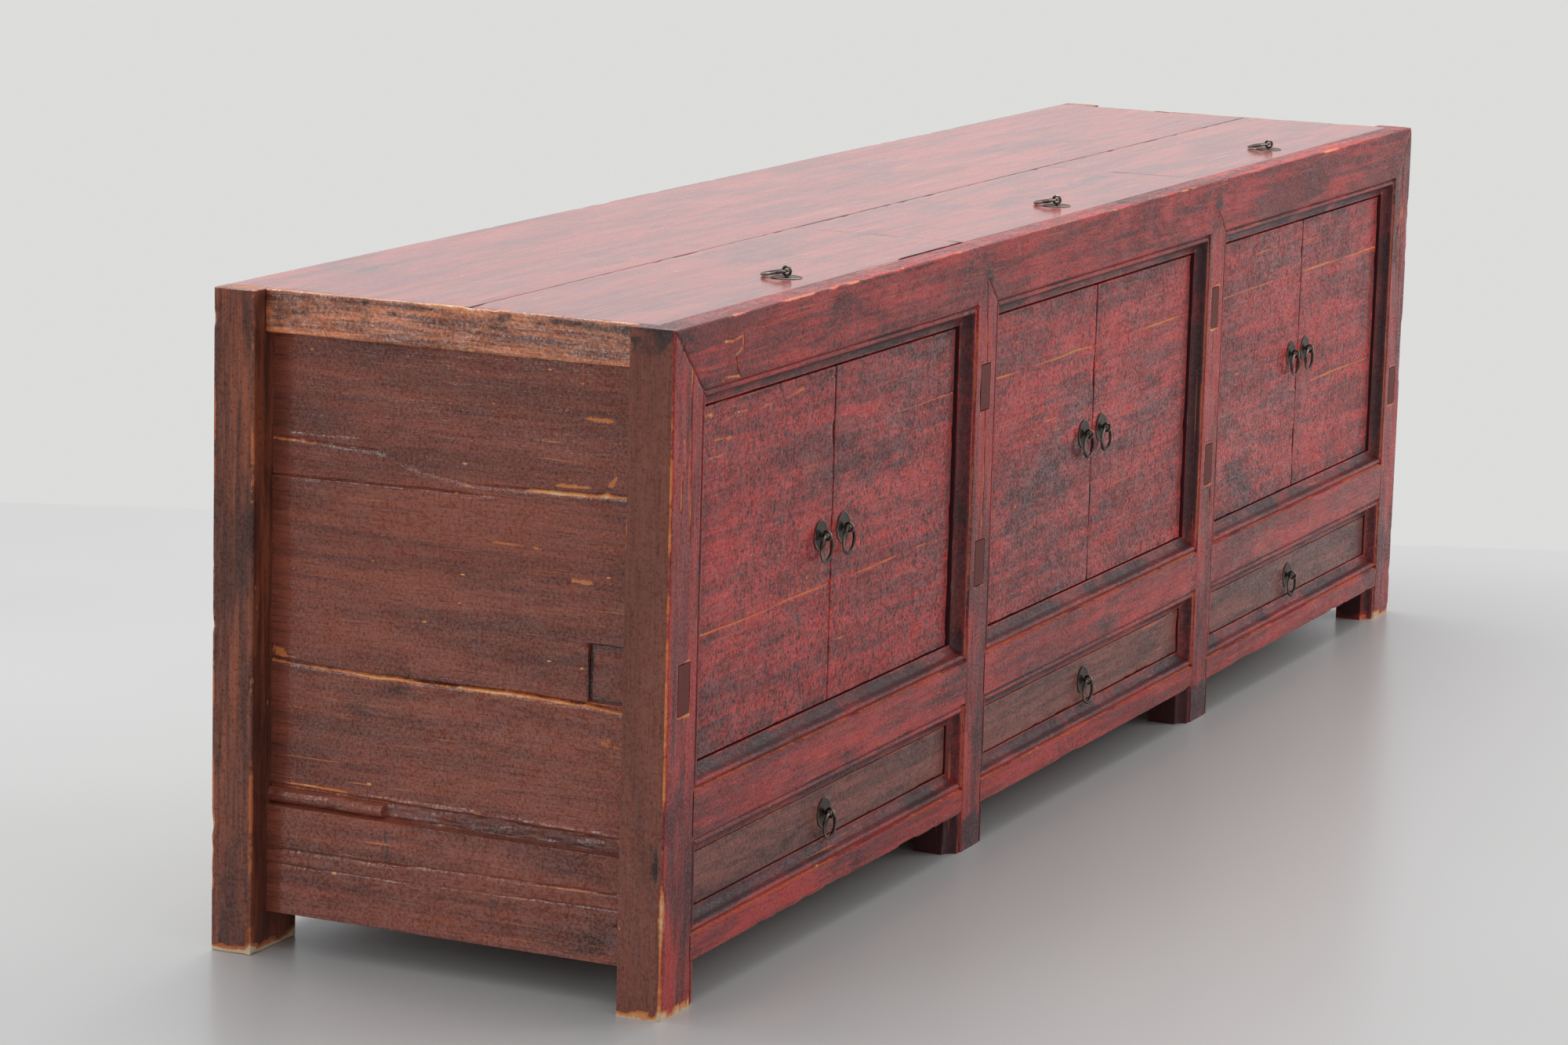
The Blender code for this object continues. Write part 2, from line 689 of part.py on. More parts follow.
def lid_pull_place(bay):
    middle = -BOARDS_END + 2 * BOARDS_END * (bay + 1 / 2) / BAYS
    return (middle, FRONT + LID_PULL_DEPTH, HEIGHT)


def shank_hole(place, outward):
    """A cutter for the hole that a pull's pin passes through."""
    length = 2 * (max(DOOR_THICK, TOP_THICK) + OVERRUN)
    return rod(f"pin hole {place}", place, outward, SHANK_RADIUS + SHANK_CLEAR, length, PIVOT_SIDES)


def make_door(bay, side):
    """A door with a rounded pivot edge, and a pivot pin cut in one piece with it at each end."""
    name = f"door_{BAY_NAMES[bay]}_{'a' if side < 0 else 'b'}"
    axis = pivot_x(bay, side)
    free = bay_middle(bay) + side * DOOR_MEETING_GAP / 2
    half = DOOR_THICK / 2
    outline = [(free, half), (free, -half)]
    for step in range(DOOR_EDGE_STEPS + 1):
        angle = math.pi * (step / DOOR_EDGE_STEPS - 1 / 2)
        outline.append((axis + side * half * math.cos(angle), half * math.sin(angle)))
    low, high = DOOR_LOW + DOOR_FOOT_GAP, DOOR_HIGH - DOOR_TOP_GAP
    middle = Vector((axis, FRONT + PIVOT_DEPTH, 0))
    points = [(x - axis, y, low) for x, y in outline]
    door = prism(name, points, (0, 0, high - low), red_lacquer)
    door.location = middle
    pin_low, pin_high = DOOR_LOW - FOOT_PIVOT + DOOR_FOOT_GAP, high + TOP_PIVOT - PIVOT_END_GAP
    pin_middle = middle + Vector((0, 0, (pin_low + pin_high) / 2))
    pin = rod(f"{name} pivot", pin_middle, (0, 0, 1), PIVOT_RADIUS, pin_high - pin_low, PIVOT_SIDES)
    join(door, pin)
    cut(door, shank_hole(door_pull_place(bay, side), (0, -1, 0)))


def make_drawer(bay):
    """A drawer: a front as high as its opening, and lower sides and back round a flat bottom."""
    name = f"drawer_{BAY_NAMES[bay]}"
    near, far = opening_span(bay)
    across = (near + DRAWER_SIDE_GAP, far - DRAWER_SIDE_GAP)
    low, high = DRAWER_LOW + SEAT_GAP, DRAWER_HIGH - DRAWER_TOP_GAP
    drawer = box(name, [across, depths(RECESS, RECESS + DRAWER_LENGTH), (low, high)], drawer_lacquer)
    behind_front = RECESS + DRAWER_FRONT_THICK
    inner = (across[0] + DRAWER_WALL, across[1] - DRAWER_WALL)
    along = depths(behind_front, RECESS + DRAWER_LENGTH - DRAWER_WALL)
    cut(drawer, box(f"{name} hollow", [inner, along, (low + DRAWER_BOTTOM, high + OVERRUN)]))
    side_tops = [
        (across[0] - OVERRUN, across[1] + OVERRUN),
        depths(behind_front, RECESS + DRAWER_LENGTH + OVERRUN),
        (high - DRAWER_SIDE_DROP, high + OVERRUN),
    ]
    cut(drawer, box(f"{name} side tops", side_tops))
    cut(drawer, shank_hole(drawer_pull_place(bay), (0, -1, 0)))


def eye_height():
    """How far the middle of a pull's eye stands off the wood."""
    return SEAT_GAP + PLATE_THICK - EYE_SINK + EYE_WIRE + EYE_RADIUS


def torus_mesh(name, radius, wire, segments, sides):
    """A ring about the Z axis, from the torus primitive."""
    bpy.ops.mesh.primitive_torus_add(
        major_radius=radius, minor_radius=wire, major_segments=segments, minor_segments=sides
    )
    thing = bpy.context.object
    thing.name = name
    for collection in list(thing.users_collection):
        collection.objects.unlink(thing)
    TOOLS.objects.link(thing)
    thing.hide_render = True
    thing.display_type = "WIRE"
    return thing


def plate_mesh(name, board_thick):
    """A pull's plate, eye, pin and clinched pin ends, standing out along +Z from the wood at zero."""
    plate_middle = (0, 0, SEAT_GAP + PLATE_THICK / 2)
    plate = rod(name, plate_middle, (0, 0, 1), PLATE_RADIUS, PLATE_THICK, PLATE_SIDES)
    eye = torus_mesh(f"{name} eye", EYE_RADIUS, EYE_WIRE, EYE_SEGMENTS, EYE_SIDES)
    eye.rotation_euler = (0, math.pi / 2, 0)
    eye.location = (0, 0, eye_height())
    clinch_high = -board_thick - SEAT_GAP
    pin_low, pin_high = clinch_high - CLINCH_THICK / 2, eye_height() - EYE_RADIUS
    pin_middle = (0, 0, (pin_low + pin_high) / 2)
    pin = rod(f"{name} pin", pin_middle, (0, 0, 1), SHANK_RADIUS, pin_high - pin_low, SHANK_SIDES)
    clinch_spans = [
        (-CLINCH_LENGTH / 2, CLINCH_LENGTH / 2),
        (-CLINCH_WIDTH / 2, CLINCH_WIDTH / 2),
        (clinch_high - CLINCH_THICK, clinch_high),
    ]
    join(plate, pin, eye, box(f"{name} clinch", clinch_spans))
    return evaluated_mesh(plate)


def ring_mesh():
    """A ring that starts at its own hinge axis, the X axis, and reaches along +Y."""
    ring = torus_mesh("ring form", RING_RADIUS, RING_WIRE, RING_SEGMENTS, RING_SIDES)
    ring.location = (0, RING_RADIUS, 0)
    return evaluated_mesh(ring)


def evaluated_mesh(thing):
    """The finished mesh of an object with its modifiers and place applied."""
    graph = bpy.context.evaluated_depsgraph_get()
    mesh = bpy.data.meshes.new_from_object(thing.evaluated_get(graph))
    mesh.transform(thing.evaluated_get(graph).matrix_world)
    mesh.shade_smooth()
    mesh.set_sharp_from_angle(angle=math.radians(40))
    return mesh


def place_copy(name, mesh, place, tilt):
    """An object that shares a mesh, at a place and turned about the X axis."""
    thing = bpy.data.objects.new(name, mesh)
    thing.location = place
    thing.rotation_euler = (tilt, 0, 0)
    FURNITURE.objects.link(thing)


def lid_ring_tilt():
    """A lid's ring slopes down from its eye until its far side lies on the lid."""
    fall = eye_height() - RING_DROP - RING_WIRE - SEAT_GAP
    return math.asin(fall / (2 * RING_RADIUS))


def make_pulls():
    ring = ring_mesh()
    ring.materials.append(dark_iron("pull ring iron"))
    boards = {"door": DOOR_THICK, "drawer": DRAWER_FRONT_THICK, "lid": TOP_THICK}
    plates = {kind: plate_mesh(f"{kind} plate form", thick) for kind, thick in boards.items()}
    for mesh in plates.values():
        mesh.materials.clear()
        mesh.materials.append(dark_iron("pull plate iron"))
    for bay, word in enumerate(BAY_NAMES):
        upright = {
            f"door_{word}_a": ("door", door_pull_place(bay, -1)),
            f"door_{word}_b": ("door", door_pull_place(bay, 1)),
            f"drawer_{word}": ("drawer", drawer_pull_place(bay)),
        }
        for owner, (kind, place) in upright.items():
            place_copy(f"pull_plate_{owner}", plates[kind], place, math.pi / 2)
            hang = Vector(place) + Vector((0, -eye_height(), -RING_DROP))
            place_copy(f"pull_ring_{owner}", ring, hang, -math.pi / 2)
        place = Vector(lid_pull_place(bay))
        place_copy(f"pull_plate_lid_{word}", plates["lid"], place, 0)
        hang = place + Vector((0, 0, eye_height() - RING_DROP))
        place_copy(f"pull_ring_lid_{word}", ring, hang, -lid_ring_tilt())


def build():
    clear_scene()
    openings = make_openings()
    seats = rail_seats()
    bearer = bearer_spans()
    bearer_seat = seat_for("bearer seat", bearer)
    panel_seat = seat_for("back panel seat", back_panel_spans())
    board_seat = box("top board seat", [*widened(lids_span()[:2]), (CARRIED_HIGH, HEIGHT + OVERRUN)])
    shelf_seats = [
        seat_for("floor seat", shelf_spans(FLOOR_LOW, FLOOR_HIGH)),
        seat_for("deck seat", shelf_spans(DECK_LOW, DECK_HIGH)),
    ]
    grooves = {side: panel_groove(side) for side in (-1, 1)}
    make_top_rail(openings, grooves)
    back_corners = []
    for side in (-1, 1):
        make_end_post(side, openings, seats, grooves[side])
        make_back_post(side, grooves[side], board_seat, panel_seat)
        cut(make_end_panel(side), *shelf_seats)
        make_end_rail(side, bearer_seat)
        across = sorted((side * HALF, side * (HALF - BACK_POST_WIDTH - SEAT_GAP)))
        corner = [across, (BEFORE_BACK_POSTS, BACK), (0, HEIGHT)]
        back_corners.append(box(f"back corner {side}", corner))
    for post in range(BAYS - 1):
        make_middle_post(post, openings, seats)
        make_partition(post, bearer_seat)
    make_floor(back_corners)
    make_deck(back_corners)
    back = box("back_panel", back_panel_spans(), bare_wood)
    cut(back, *shelf_seats)
    for post in range(BAYS - 1):
        cut(back, seat_for(f"partition groove {post}", partition_spans(post)))
    box("lid_bearer", bearer, bare_wood)
    make_top()
    for bay in range(BAYS):
        make_sill_rail(bay, openings)
        make_bottom_rail(bay, openings)
        make_drawer(bay)
        for side in (-1, 1):
            make_door(bay, side)
    make_pulls()


build()
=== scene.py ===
"""Dressed model of the long low sideboard: worn lacquered boards, moulded front frame and iron ring pulls.

Metres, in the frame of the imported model: X runs along the cabinet, the doors face -Y, +Z is up.
"""

import json
import math

import bpy
import numpy as np
from mathutils import Matrix, Vector


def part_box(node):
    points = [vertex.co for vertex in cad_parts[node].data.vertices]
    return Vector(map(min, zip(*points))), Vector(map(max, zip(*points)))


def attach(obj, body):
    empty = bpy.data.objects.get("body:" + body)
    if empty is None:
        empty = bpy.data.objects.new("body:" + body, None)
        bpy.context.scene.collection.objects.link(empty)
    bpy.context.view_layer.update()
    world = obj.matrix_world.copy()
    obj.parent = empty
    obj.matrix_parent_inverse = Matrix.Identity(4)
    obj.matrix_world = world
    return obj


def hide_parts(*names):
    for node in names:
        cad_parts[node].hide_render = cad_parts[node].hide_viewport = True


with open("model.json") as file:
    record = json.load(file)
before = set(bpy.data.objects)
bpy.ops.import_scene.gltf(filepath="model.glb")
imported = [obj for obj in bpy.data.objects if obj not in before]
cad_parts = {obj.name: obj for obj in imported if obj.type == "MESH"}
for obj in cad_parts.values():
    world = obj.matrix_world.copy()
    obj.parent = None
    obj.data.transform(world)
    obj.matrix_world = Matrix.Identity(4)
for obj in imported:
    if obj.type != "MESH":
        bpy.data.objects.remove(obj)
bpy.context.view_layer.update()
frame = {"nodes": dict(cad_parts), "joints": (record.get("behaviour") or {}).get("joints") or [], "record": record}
NODES = frame["nodes"]
BODY_OF = {node: body for body, members in frame["record"]["behaviour"]["bodies"].items() for node in members}

BAYS = ("left", "middle", "right")
DOORS = [f"door_{bay}_{leaf}" for bay in BAYS for leaf in "ab"]
DRAWERS = [f"drawer_{bay}" for bay in BAYS]
LIDS = [f"lid_{bay}" for bay in BAYS]
SIDES = ((-1, "left"), (1, "right"))

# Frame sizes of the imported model
HALF, FRONT, BACK, HEIGHT = 1.15, -0.255, 0.255, 0.680
END_FLAT, MIDDLE_FLAT, TOP_FLAT = 0.064, 0.053, 0.064
BAY = (2 * HALF - 2 * END_FLAT - 2 * MIDDLE_FLAT) / 3
PITCH = BAY + MIDDLE_FLAT
POST_DEPTH = 0.048
MOULDING = 0.021
MOULDING_DEPTH = 0.013
GROOVE, GROOVE_DEPTH = 0.0025, 0.0035
BEAD, BEAD_DROP = 0.0065, 0.0008
PLAIN_ARRIS = 0.002
LEG_CLEAR, BOTTOM_HIGH = 0.045, 0.072
SILL_LOW, SILL_HIGH = 0.170, 0.218
TOP_LOW = HEIGHT - TOP_FLAT
V_TIP = TOP_LOW + MIDDLE_FLAT / 2
TIP_GAP, TOP_GAP = 0.0004, 0.0005
FLOOR_LEDGE, DECK_LEDGE = 0.2217, 0.0807
LEDGE_ROOT, LEDGE_REACH, LEDGE_THICK = 0.006, 0.012, 0.020
BOARDS_LOW = 0.662
BOARDS_END = 1.125
TOP_STRIP, TOP_STRIP_GRID = 0.029, 0.012
TENONS = ((0.300, 0.350), (0.497, 0.547))
TENON_HALF = 0.0125
END_TENON_MIDDLE = 1.114
BACK_POST_WIDTH, BACK_POST_DEPTH = 0.090, 0.047
PANEL_FACE, PANEL_INNER = 1.112, 1.096
SEAT_GAP = 0.0003

# Doors and drawers. A pivot pin's sizes: from the hinge side to its middle, half its width, its corners'
# radius, from the leaf's faces to it, from its tip to the next ring, and how far it reaches into the leaf
RECESS = 0.0145
DOOR_LOW, DOOR_HIGH, DOOR_THICK = 0.240, 0.5925, 0.018
DOOR_ARRIS, HINGE_ROUND = 0.0012, 0.0088
PIVOT_IN, PIVOT_HALF, PIVOT_ROUND = 0.009, 0.006, 0.0059
PIVOT_SET, PIVOT_TIP, PIVOT_ROOT = 0.003, 0.006, 0.004
DRAWER_FACE, DRAWER_WALL, DRAWER_BOTTOM, SIDE_DROP = 0.014, 0.010, 0.006, 0.007
WALLS_START, WALL_LAP = 0.012, 0.009

# Pulls
EYE_HEIGHT = 0.0074
RING_RADIUS, RING_WIRE = 0.0135, 0.0019
PLATE_RADIUS, PLATE_THICK = 0.0165, 0.0012
EYE_RADIUS, EYE_WIRE = 0.0045, 0.0018
PIN_RADIUS, PIN_TIP_RADIUS = 0.0017, 0.0012
CLINCH_HALF, CLINCH_THICK = 0.011, 0.0015

# New meshes: points closer than one place are one point, and steeper edges than the angle stay sharp
PLACES_PER_METRE = 2e6
SHARP_ANGLE = math.radians(38)

# Camera
CAMERA_PLACE = (-5.1552, -2.2088, 1.3435)
CAMERA_AZIMUTH = 65.3765
CAMERA_DROP = 10.7401
CAMERA_ROLL = 1.5741
CAMERA_LENS = 109.18

# Stage
FLOOR_CORNERS = ((-16.0, -14.0), (7.705, -14.0), (-4.559, 14.0), (-16.0, 14.0))


class Recipe:
    """A material whose nodes are laid out by short calls. Patterns are in metres on Object coordinates."""

    def __init__(self, name):
        """A new material with its shader, and the place that its patterns follow."""
        self.material = bpy.data.materials.new(name)
        self.material.use_nodes = True
        self.tree = self.material.node_tree
        self.shader = self.tree.nodes["Principled BSDF"]
        self.place = self.make("ShaderNodeTexCoord").outputs["Object"]

    def make(self, kind, inputs=(), **settings):
        """A node of a kind, with its settings and its inputs filled in."""
        node = self.tree.nodes.new(kind)
        for key, value in settings.items():
            setattr(node, key, value)
        pairs = inputs.items() if isinstance(inputs, dict) else enumerate(inputs)
        for socket, value in pairs:
            self.feed(node.inputs[socket], value)
        return node

    def feed(self, socket, value):
        """Link a socket to another node's socket, or give it a plain value."""
        if isinstance(value, bpy.types.NodeSocket):
            self.tree.links.new(value, socket)
        elif value is not None:
            socket.default_value = value

    def math(self, how, *values):
        """The result of one operation on one or two values."""
        return self.make("ShaderNodeMath", values, operation=how).outputs[0]

    def add(self, first, second):
        """The sum of two values."""
        return self.math("ADD", first, second)

    def less(self, first, second):
        """The first value less the second."""
        return self.math("SUBTRACT", first, second)

    def times(self, first, second):
        """The product of two values."""
        return self.math("MULTIPLY", first, second)

    def more(self, first, second):
        """The larger of two values."""
        return self.math("MAXIMUM", first, second)

    def worn(self):
        """The piece's own wear attribute."""
        return self.make("ShaderNodeAttribute", attribute_name="wear").outputs["Fac"]

    def stretched(self, stretch, shift=(0, 0, 0)):
        """The place times a stretch on each axis, then shifted."""
        mapping = self.make("ShaderNodeMapping", {"Vector": self.place, "Scale": stretch, "Location": shift})
        return mapping.outputs[0]

    def noise(self, stretch, detail=4.0, roughness=0.55, distortion=0.0, shift=(0, 0, 0)):
        """Noise whose cells are one over the stretch long, in metres, on each axis."""
        inputs = {
            "Vector": self.stretched(stretch, shift), "Scale": 1.0, "Detail": detail,
            "Roughness": roughness, "Distortion": distortion,
        }
        return self.make("ShaderNodeTexNoise", inputs).outputs["Fac"]

    def step(self, value, low, high, to_low=0.0, to_high=1.0):
        """A smooth step from to_low to to_high as the value goes from low to high."""
        inputs = {"Value": value, "From Min": low, "From Max": high, "To Min": to_low, "To Max": to_high}
        return self.make("ShaderNodeMapRange", inputs, interpolation_type="SMOOTHSTEP").outputs[0]

    def mix(self, amount, first, second):
        """The first colour, with the second over it by an amount from 0 to 1."""
        node = self.make("ShaderNodeMix", data_type="RGBA")
        self.feed(node.inputs["Factor"], amount)
        colours = [socket for socket in node.inputs if socket.type == "RGBA"]
        self.feed(colours[0], paint(first))
        self.feed(colours[1], paint(second))
        return next(socket for socket in node.outputs if socket.type == "RGBA")

    def bump(self, height, strength, distance, normal=None):
        """A fine relief of a height, over another relief where one is given."""
        inputs = {"Height": height, "Strength": strength, "Distance": distance}
        node = self.make("ShaderNodeBump", inputs)
        if normal is not None:
            self.feed(node.inputs["Normal"], normal)
        return node.outputs[0]

    def finish(self, **sockets):
        """Feed the shader's sockets, by their names with _ for a space, and give the material."""
        for name, value in sockets.items():
            self.feed(self.shader.inputs[name.replace("_", " ")], value)
        return self.material


def paint(colour):
    """A plain (r, g, b) as a socket's (r, g, b, a), and anything else as it is."""
    return (*colour, 1.0) if isinstance(colour, tuple) and len(colour) == 3 else colour


def along(axis, fine, coarse):
    """A stretch for grain along an axis: coarse along it and fine across it."""
    return tuple(coarse if letter == axis else fine for letter in "xyz")


PALE_WOOD = (0.62, 0.46, 0.31)
MOTTLE_SIZE = 0.0045
# The look of a coat, where its own line says nothing else
PLAIN_LOOK = {
    "contrast": 1.0, "smears": 0.4, "broad": 0.3, "mottle": 0.0, "mottle_squash": 0.6, "pores": 0.55,
    "scratches": 0.3, "nicks": 0.74, "undercoat": (0.58, 0.13, 0.042), "wood": (0.62, 0.27, 0.10),
    "wave": 0.3, "brushed": 0.5, "ripple": 0.25,
    "wax": 0.85, "wax_index": 1.36, "gloss": 0.15, "patchy": 1.0, "haze": 0.0, "tar": 0.0,
}


class Lacquer(Recipe):
    """Old lacquer under wax: fresh and deep shades along the grain, smears, mottling, scratches and nicks.

    Worn places follow the piece's own wear attribute: undercoat, then bare wood, then pale wood. Where the
    attribute is below nought, the coat is darker: dirt, and painted shade in gaps and recesses.
    """

    def __init__(self, name, grain, look):
        """The patterns that more than one layer follows."""
        super().__init__(name)
        self.grain, self.look = grain, {**PLAIN_LOOK, **look}
        self.streaks = self.noise(along(grain, 130.0, 6.0), 5.0, 0.62, 0.25)
        self.fibres = self.noise(along(grain, 760.0, 22.0), 3.0, 0.6)
        self.pores = self.noise((330.0, 330.0, 330.0), 4.0, 0.7, 0.5, shift=(8.0, 3.0, 2.0))
        self.lumps = self.noise((34.0, 34.0, 34.0), 5.0, 0.6, 0.4, shift=(5.0, 5.0, 1.0))
        self.broad = self.noise(along(grain, 5.5, 2.6), 3.0, 0.5, 0.3, shift=(6.1, 2.2, 5.3))
        self.cloud = self.less(self.broad, 0.5)
        self.wear = self.worn()
        self.grit = self.less(self.noise((150.0, 150.0, 150.0), 5.0, 0.72, 0.3), 0.5)
        # Dirt, and painted shade in gaps and recesses, where the wear attribute falls below nought
        self.dirt_and_shade = self.step(self.less(self.times(self.grit, 0.9), self.wear), 0.12, 0.75)

    def shades(self, fresh, deep):
        """The fresh and the deep shade, in bands and streaks along the grain."""
        band = self.noise(along(self.grain, 24.0, 3.4), 7.0, 0.66, 0.7)
        tone = self.add(self.times(band, 0.62), self.times(self.streaks, 0.38))
        half = 0.13 / self.look["contrast"]
        return self.mix(self.step(tone, 0.5 - half, 0.5 + half), fresh, deep)

    def smears(self):
        """How dark the smears are: ragged ones along the grain, more of them in some broad clouds."""
        smear = self.noise(along(self.grain, 15.0, 6.0), 9.0, 0.74, 0.9, shift=(3.7, 1.3, 8.1))
        finer = self.add(self.times(self.streaks, 0.18), self.times(self.broad, 0.12))
        smear = self.add(self.times(smear, 0.7), finer)
        smear = self.add(smear, self.times(self.cloud, self.look["broad"]))
        lower = 0.22 * self.look["smears"]
        return self.times(self.step(smear, 0.60 - lower, 0.77 - lower), 0.80)

    def mottling(self):
        """How dark the mottling is: small spots, in patches."""
        cells = 1.0 / MOTTLE_SIZE
        spots = self.noise((cells, cells, cells * self.look["mottle_squash"]), 3.0, 0.62, 1.2)
        where = self.noise((7.0, 7.0, 5.0), 6.0, 0.7, 0.4, shift=(9.0, 2.0, 4.0))
        lower = 0.3 * self.look["mottle"]
        where = self.step(where, 0.62 - lower, 0.78 - lower)
        return self.times(self.times(self.step(spots, 0.49, 0.60), where), 0.85)

    def darkening(self):
        """How dark the coat has grown: the most of its smears, its mottling, and its dirt and painted shade."""
        darkening = self.smears()
        if self.look["mottle"]:
            darkening = self.more(darkening, self.mottling())
        return self.more(darkening, self.times(self.dirt_and_shade, 0.92))

    def scratches(self):
        """How clear the thin scratches along the grain are, in patches."""
        scratch = self.noise(along(self.grain, 420.0, 7.0), 2.0, 0.5, 0.6, shift=(1.0, 7.0, 2.0))
        patch = self.noise(along(self.grain, 18.0, 7.0), 4.0, 0.6, shift=(4.0, 4.0, 6.0))
        lower = 0.2 * self.look["scratches"]
        patch = self.step(patch, 0.62 - lower, 0.72 - lower)
        return self.times(self.times(self.step(scratch, 0.66, 0.72), patch), 0.75)

    def ragged_wear(self):
        """The wear attribute with grit in its edges, and with a nick in some cells."""
        inputs = {"Vector": self.stretched(along(self.grain, 72.0, 30.0)), "Scale": 1.0}
        cells = self.make("ShaderNodeTexVoronoi", inputs)
        chosen = self.math("GREATER_THAN", cells.outputs["Color"], self.look["nicks"])
        away = self.add(cells.outputs["Distance"], self.times(self.grit, 0.16))
        nicks = self.times(self.step(away, 0.05, 0.11, 1.0, 0.0), chosen)
        return self.add(self.add(self.wear, self.times(self.grit, 0.95)), self.times(nicks, 0.9))

    def film(self, ragged):
        """How much of the coat shines: less over pores, hollows, worn places and haze, and tar shines too."""
        patchy = self.look["patchy"]
        film = self.step(self.pores, 0.40, 0.58, 1 + 0.35 * patchy, 1 - 0.45 * patchy)
        film = self.add(film, self.step(self.lumps, 0.3, 0.7, -0.15 * patchy, 0.15 * patchy))
        film = self.times(self.more(film, 0.06), self.step(ragged, 0.5, 0.8, 1.0, 0.5))
        film = self.times(film, self.add(self.times(self.cloud, self.look["haze"]), 1.0))
        return self.add(self.times(film, self.look["wax"]), self.times(self.dirt_and_shade, self.look["tar"]))

    def reliefs(self, darkening, ragged):
        """The relief of the coat, and the smoother one of the wax: waves, then fibres, or lumps and grit."""
        wave = self.bump(self.noise(along(self.grain, 30.0, 5.0), 4.0, 0.55), self.look["wave"], 0.003)
        fine = self.add(self.times(self.streaks, 0.6), self.times(self.fibres, 0.25))
        fine = self.less(fine, self.times(self.step(ragged, 0.42, 0.6), 0.35))
        coat = self.bump(self.less(fine, self.times(darkening, 0.12)), 0.5, 0.0009, wave)
        brushed = self.add(self.lumps, self.times(fine, self.look["brushed"]))
        height = self.add(brushed, self.times(self.times(self.grit, self.dirt_and_shade), 1.2))
        return coat, self.bump(height, self.look["ripple"], 0.0012, wave)


def lacquer(name, grain, fresh, deep, dark, **look):
    """A lacquer coat of three shades, whose fibres and pores are dark, worn down in three steps."""
    coat = Lacquer(name, grain, look)
    look = coat.look
    darkening, ragged = coat.darkening(), coat.ragged_wear()
    colour = coat.mix(darkening, coat.shades(fresh, deep), dark)
    colour = coat.mix(coat.times(coat.step(coat.fibres, 0.50, 0.70), 0.5), colour, dark)
    colour = coat.mix(coat.step(coat.pores, 0.53, 0.66, 0.0, look["pores"]), colour, dark)
    colour = coat.mix(coat.scratches(), colour, look["undercoat"])
    layers = ((0.40, 0.58, look["undercoat"]), (0.72, 0.88, look["wood"]), (1.02, 1.18, PALE_WOOD))
    for start, stop, under in layers:
        colour = coat.mix(coat.step(ragged, start, stop), colour, under)
    dull = coat.add(coat.step(ragged, 0.45, 0.8, 0.50, 0.72), coat.times(darkening, 0.08))
    relief, wax_relief = coat.reliefs(darkening, ragged)
    return coat.finish(
        Base_Color=colour, Roughness=dull, Specular_IOR_Level=0.2, Normal=relief,
        Coat_Weight=coat.film(ragged), Coat_Normal=wax_relief, Coat_IOR=look["wax_index"],
        Coat_Roughness=look["gloss"],
    )


def bare_wood(name, grain):
    """Old unpainted softwood, darker in its late-wood lines, and dark where an end shows at the front.

    Where the piece's wear attribute is below nought, dirt has gathered.
    """
    wood = Recipe(name)
    warp = wood.noise(along(grain, 9.0, 1.6), 3.0, 0.5, 0.6)
    lines = wood.noise(along(grain, 150.0, 3.0), 5.0, 0.62, 0.4, shift=(2.0, 5.0, 7.0))
    tone = wood.add(wood.times(lines, 0.7), wood.times(warp, 0.3))
    dust = wood.noise((5.0, 5.0, 5.0), 7.0, 0.66, 0.4)
    colour = wood.mix(wood.step(tone, 0.38, 0.62), (0.255, 0.118, 0.062), (0.132, 0.055, 0.032))
    colour = wood.mix(wood.times(wood.step(dust, 0.45, 0.65), 0.5), colour, (0.085, 0.046, 0.032))
    colour = wood.mix(wood.step(wood.worn(), -0.9, -0.2, 0.85, 0.0), colour, (0.020, 0.012, 0.010))
    depth = wood.make("ShaderNodeSeparateXYZ", [wood.place]).outputs["Y"]
    colour = wood.mix(wood.step(depth, FRONT + 0.006, FRONT + 0.010, 0.9, 0.0), colour, (0.120, 0.020, 0.016))
    relief = wood.bump(tone, 0.5, 0.0012)
    return wood.finish(Base_Color=colour, Roughness=0.6, Specular_IOR_Level=0.25, Normal=relief)


def rubbed_iron(name):
    """Dark iron with a brown skin, polished where hands rub it."""
    iron = Recipe(name)
    skin = iron.noise((160.0, 160.0, 160.0), 5.0, 0.65)
    rubbed = iron.add(iron.worn(), iron.times(iron.less(skin, 0.5), 0.8))
    colour = iron.mix(iron.step(skin, 0.35, 0.65), (0.040, 0.030, 0.025), (0.085, 0.062, 0.050))
    colour = iron.mix(iron.step(rubbed, 0.35, 0.75), colour, (0.24, 0.20, 0.165))
    dull = iron.step(skin, 0.3, 0.7, 0.30, 0.52)
    relief = iron.bump(skin, 0.3, 0.0004)
    return iron.finish(Base_Color=colour, Roughness=dull, Metallic=0.85, Normal=relief)


RED, DEEP_RED, DARK = (0.450, 0.036, 0.029), (0.200, 0.021, 0.019), (0.036, 0.014, 0.017)
BROWN, DEEP_BROWN, BLACK_BROWN = (0.270, 0.068, 0.038), (0.150, 0.038, 0.024), (0.024, 0.010, 0.008)
ORANGE = (0.55, 0.17, 0.045)

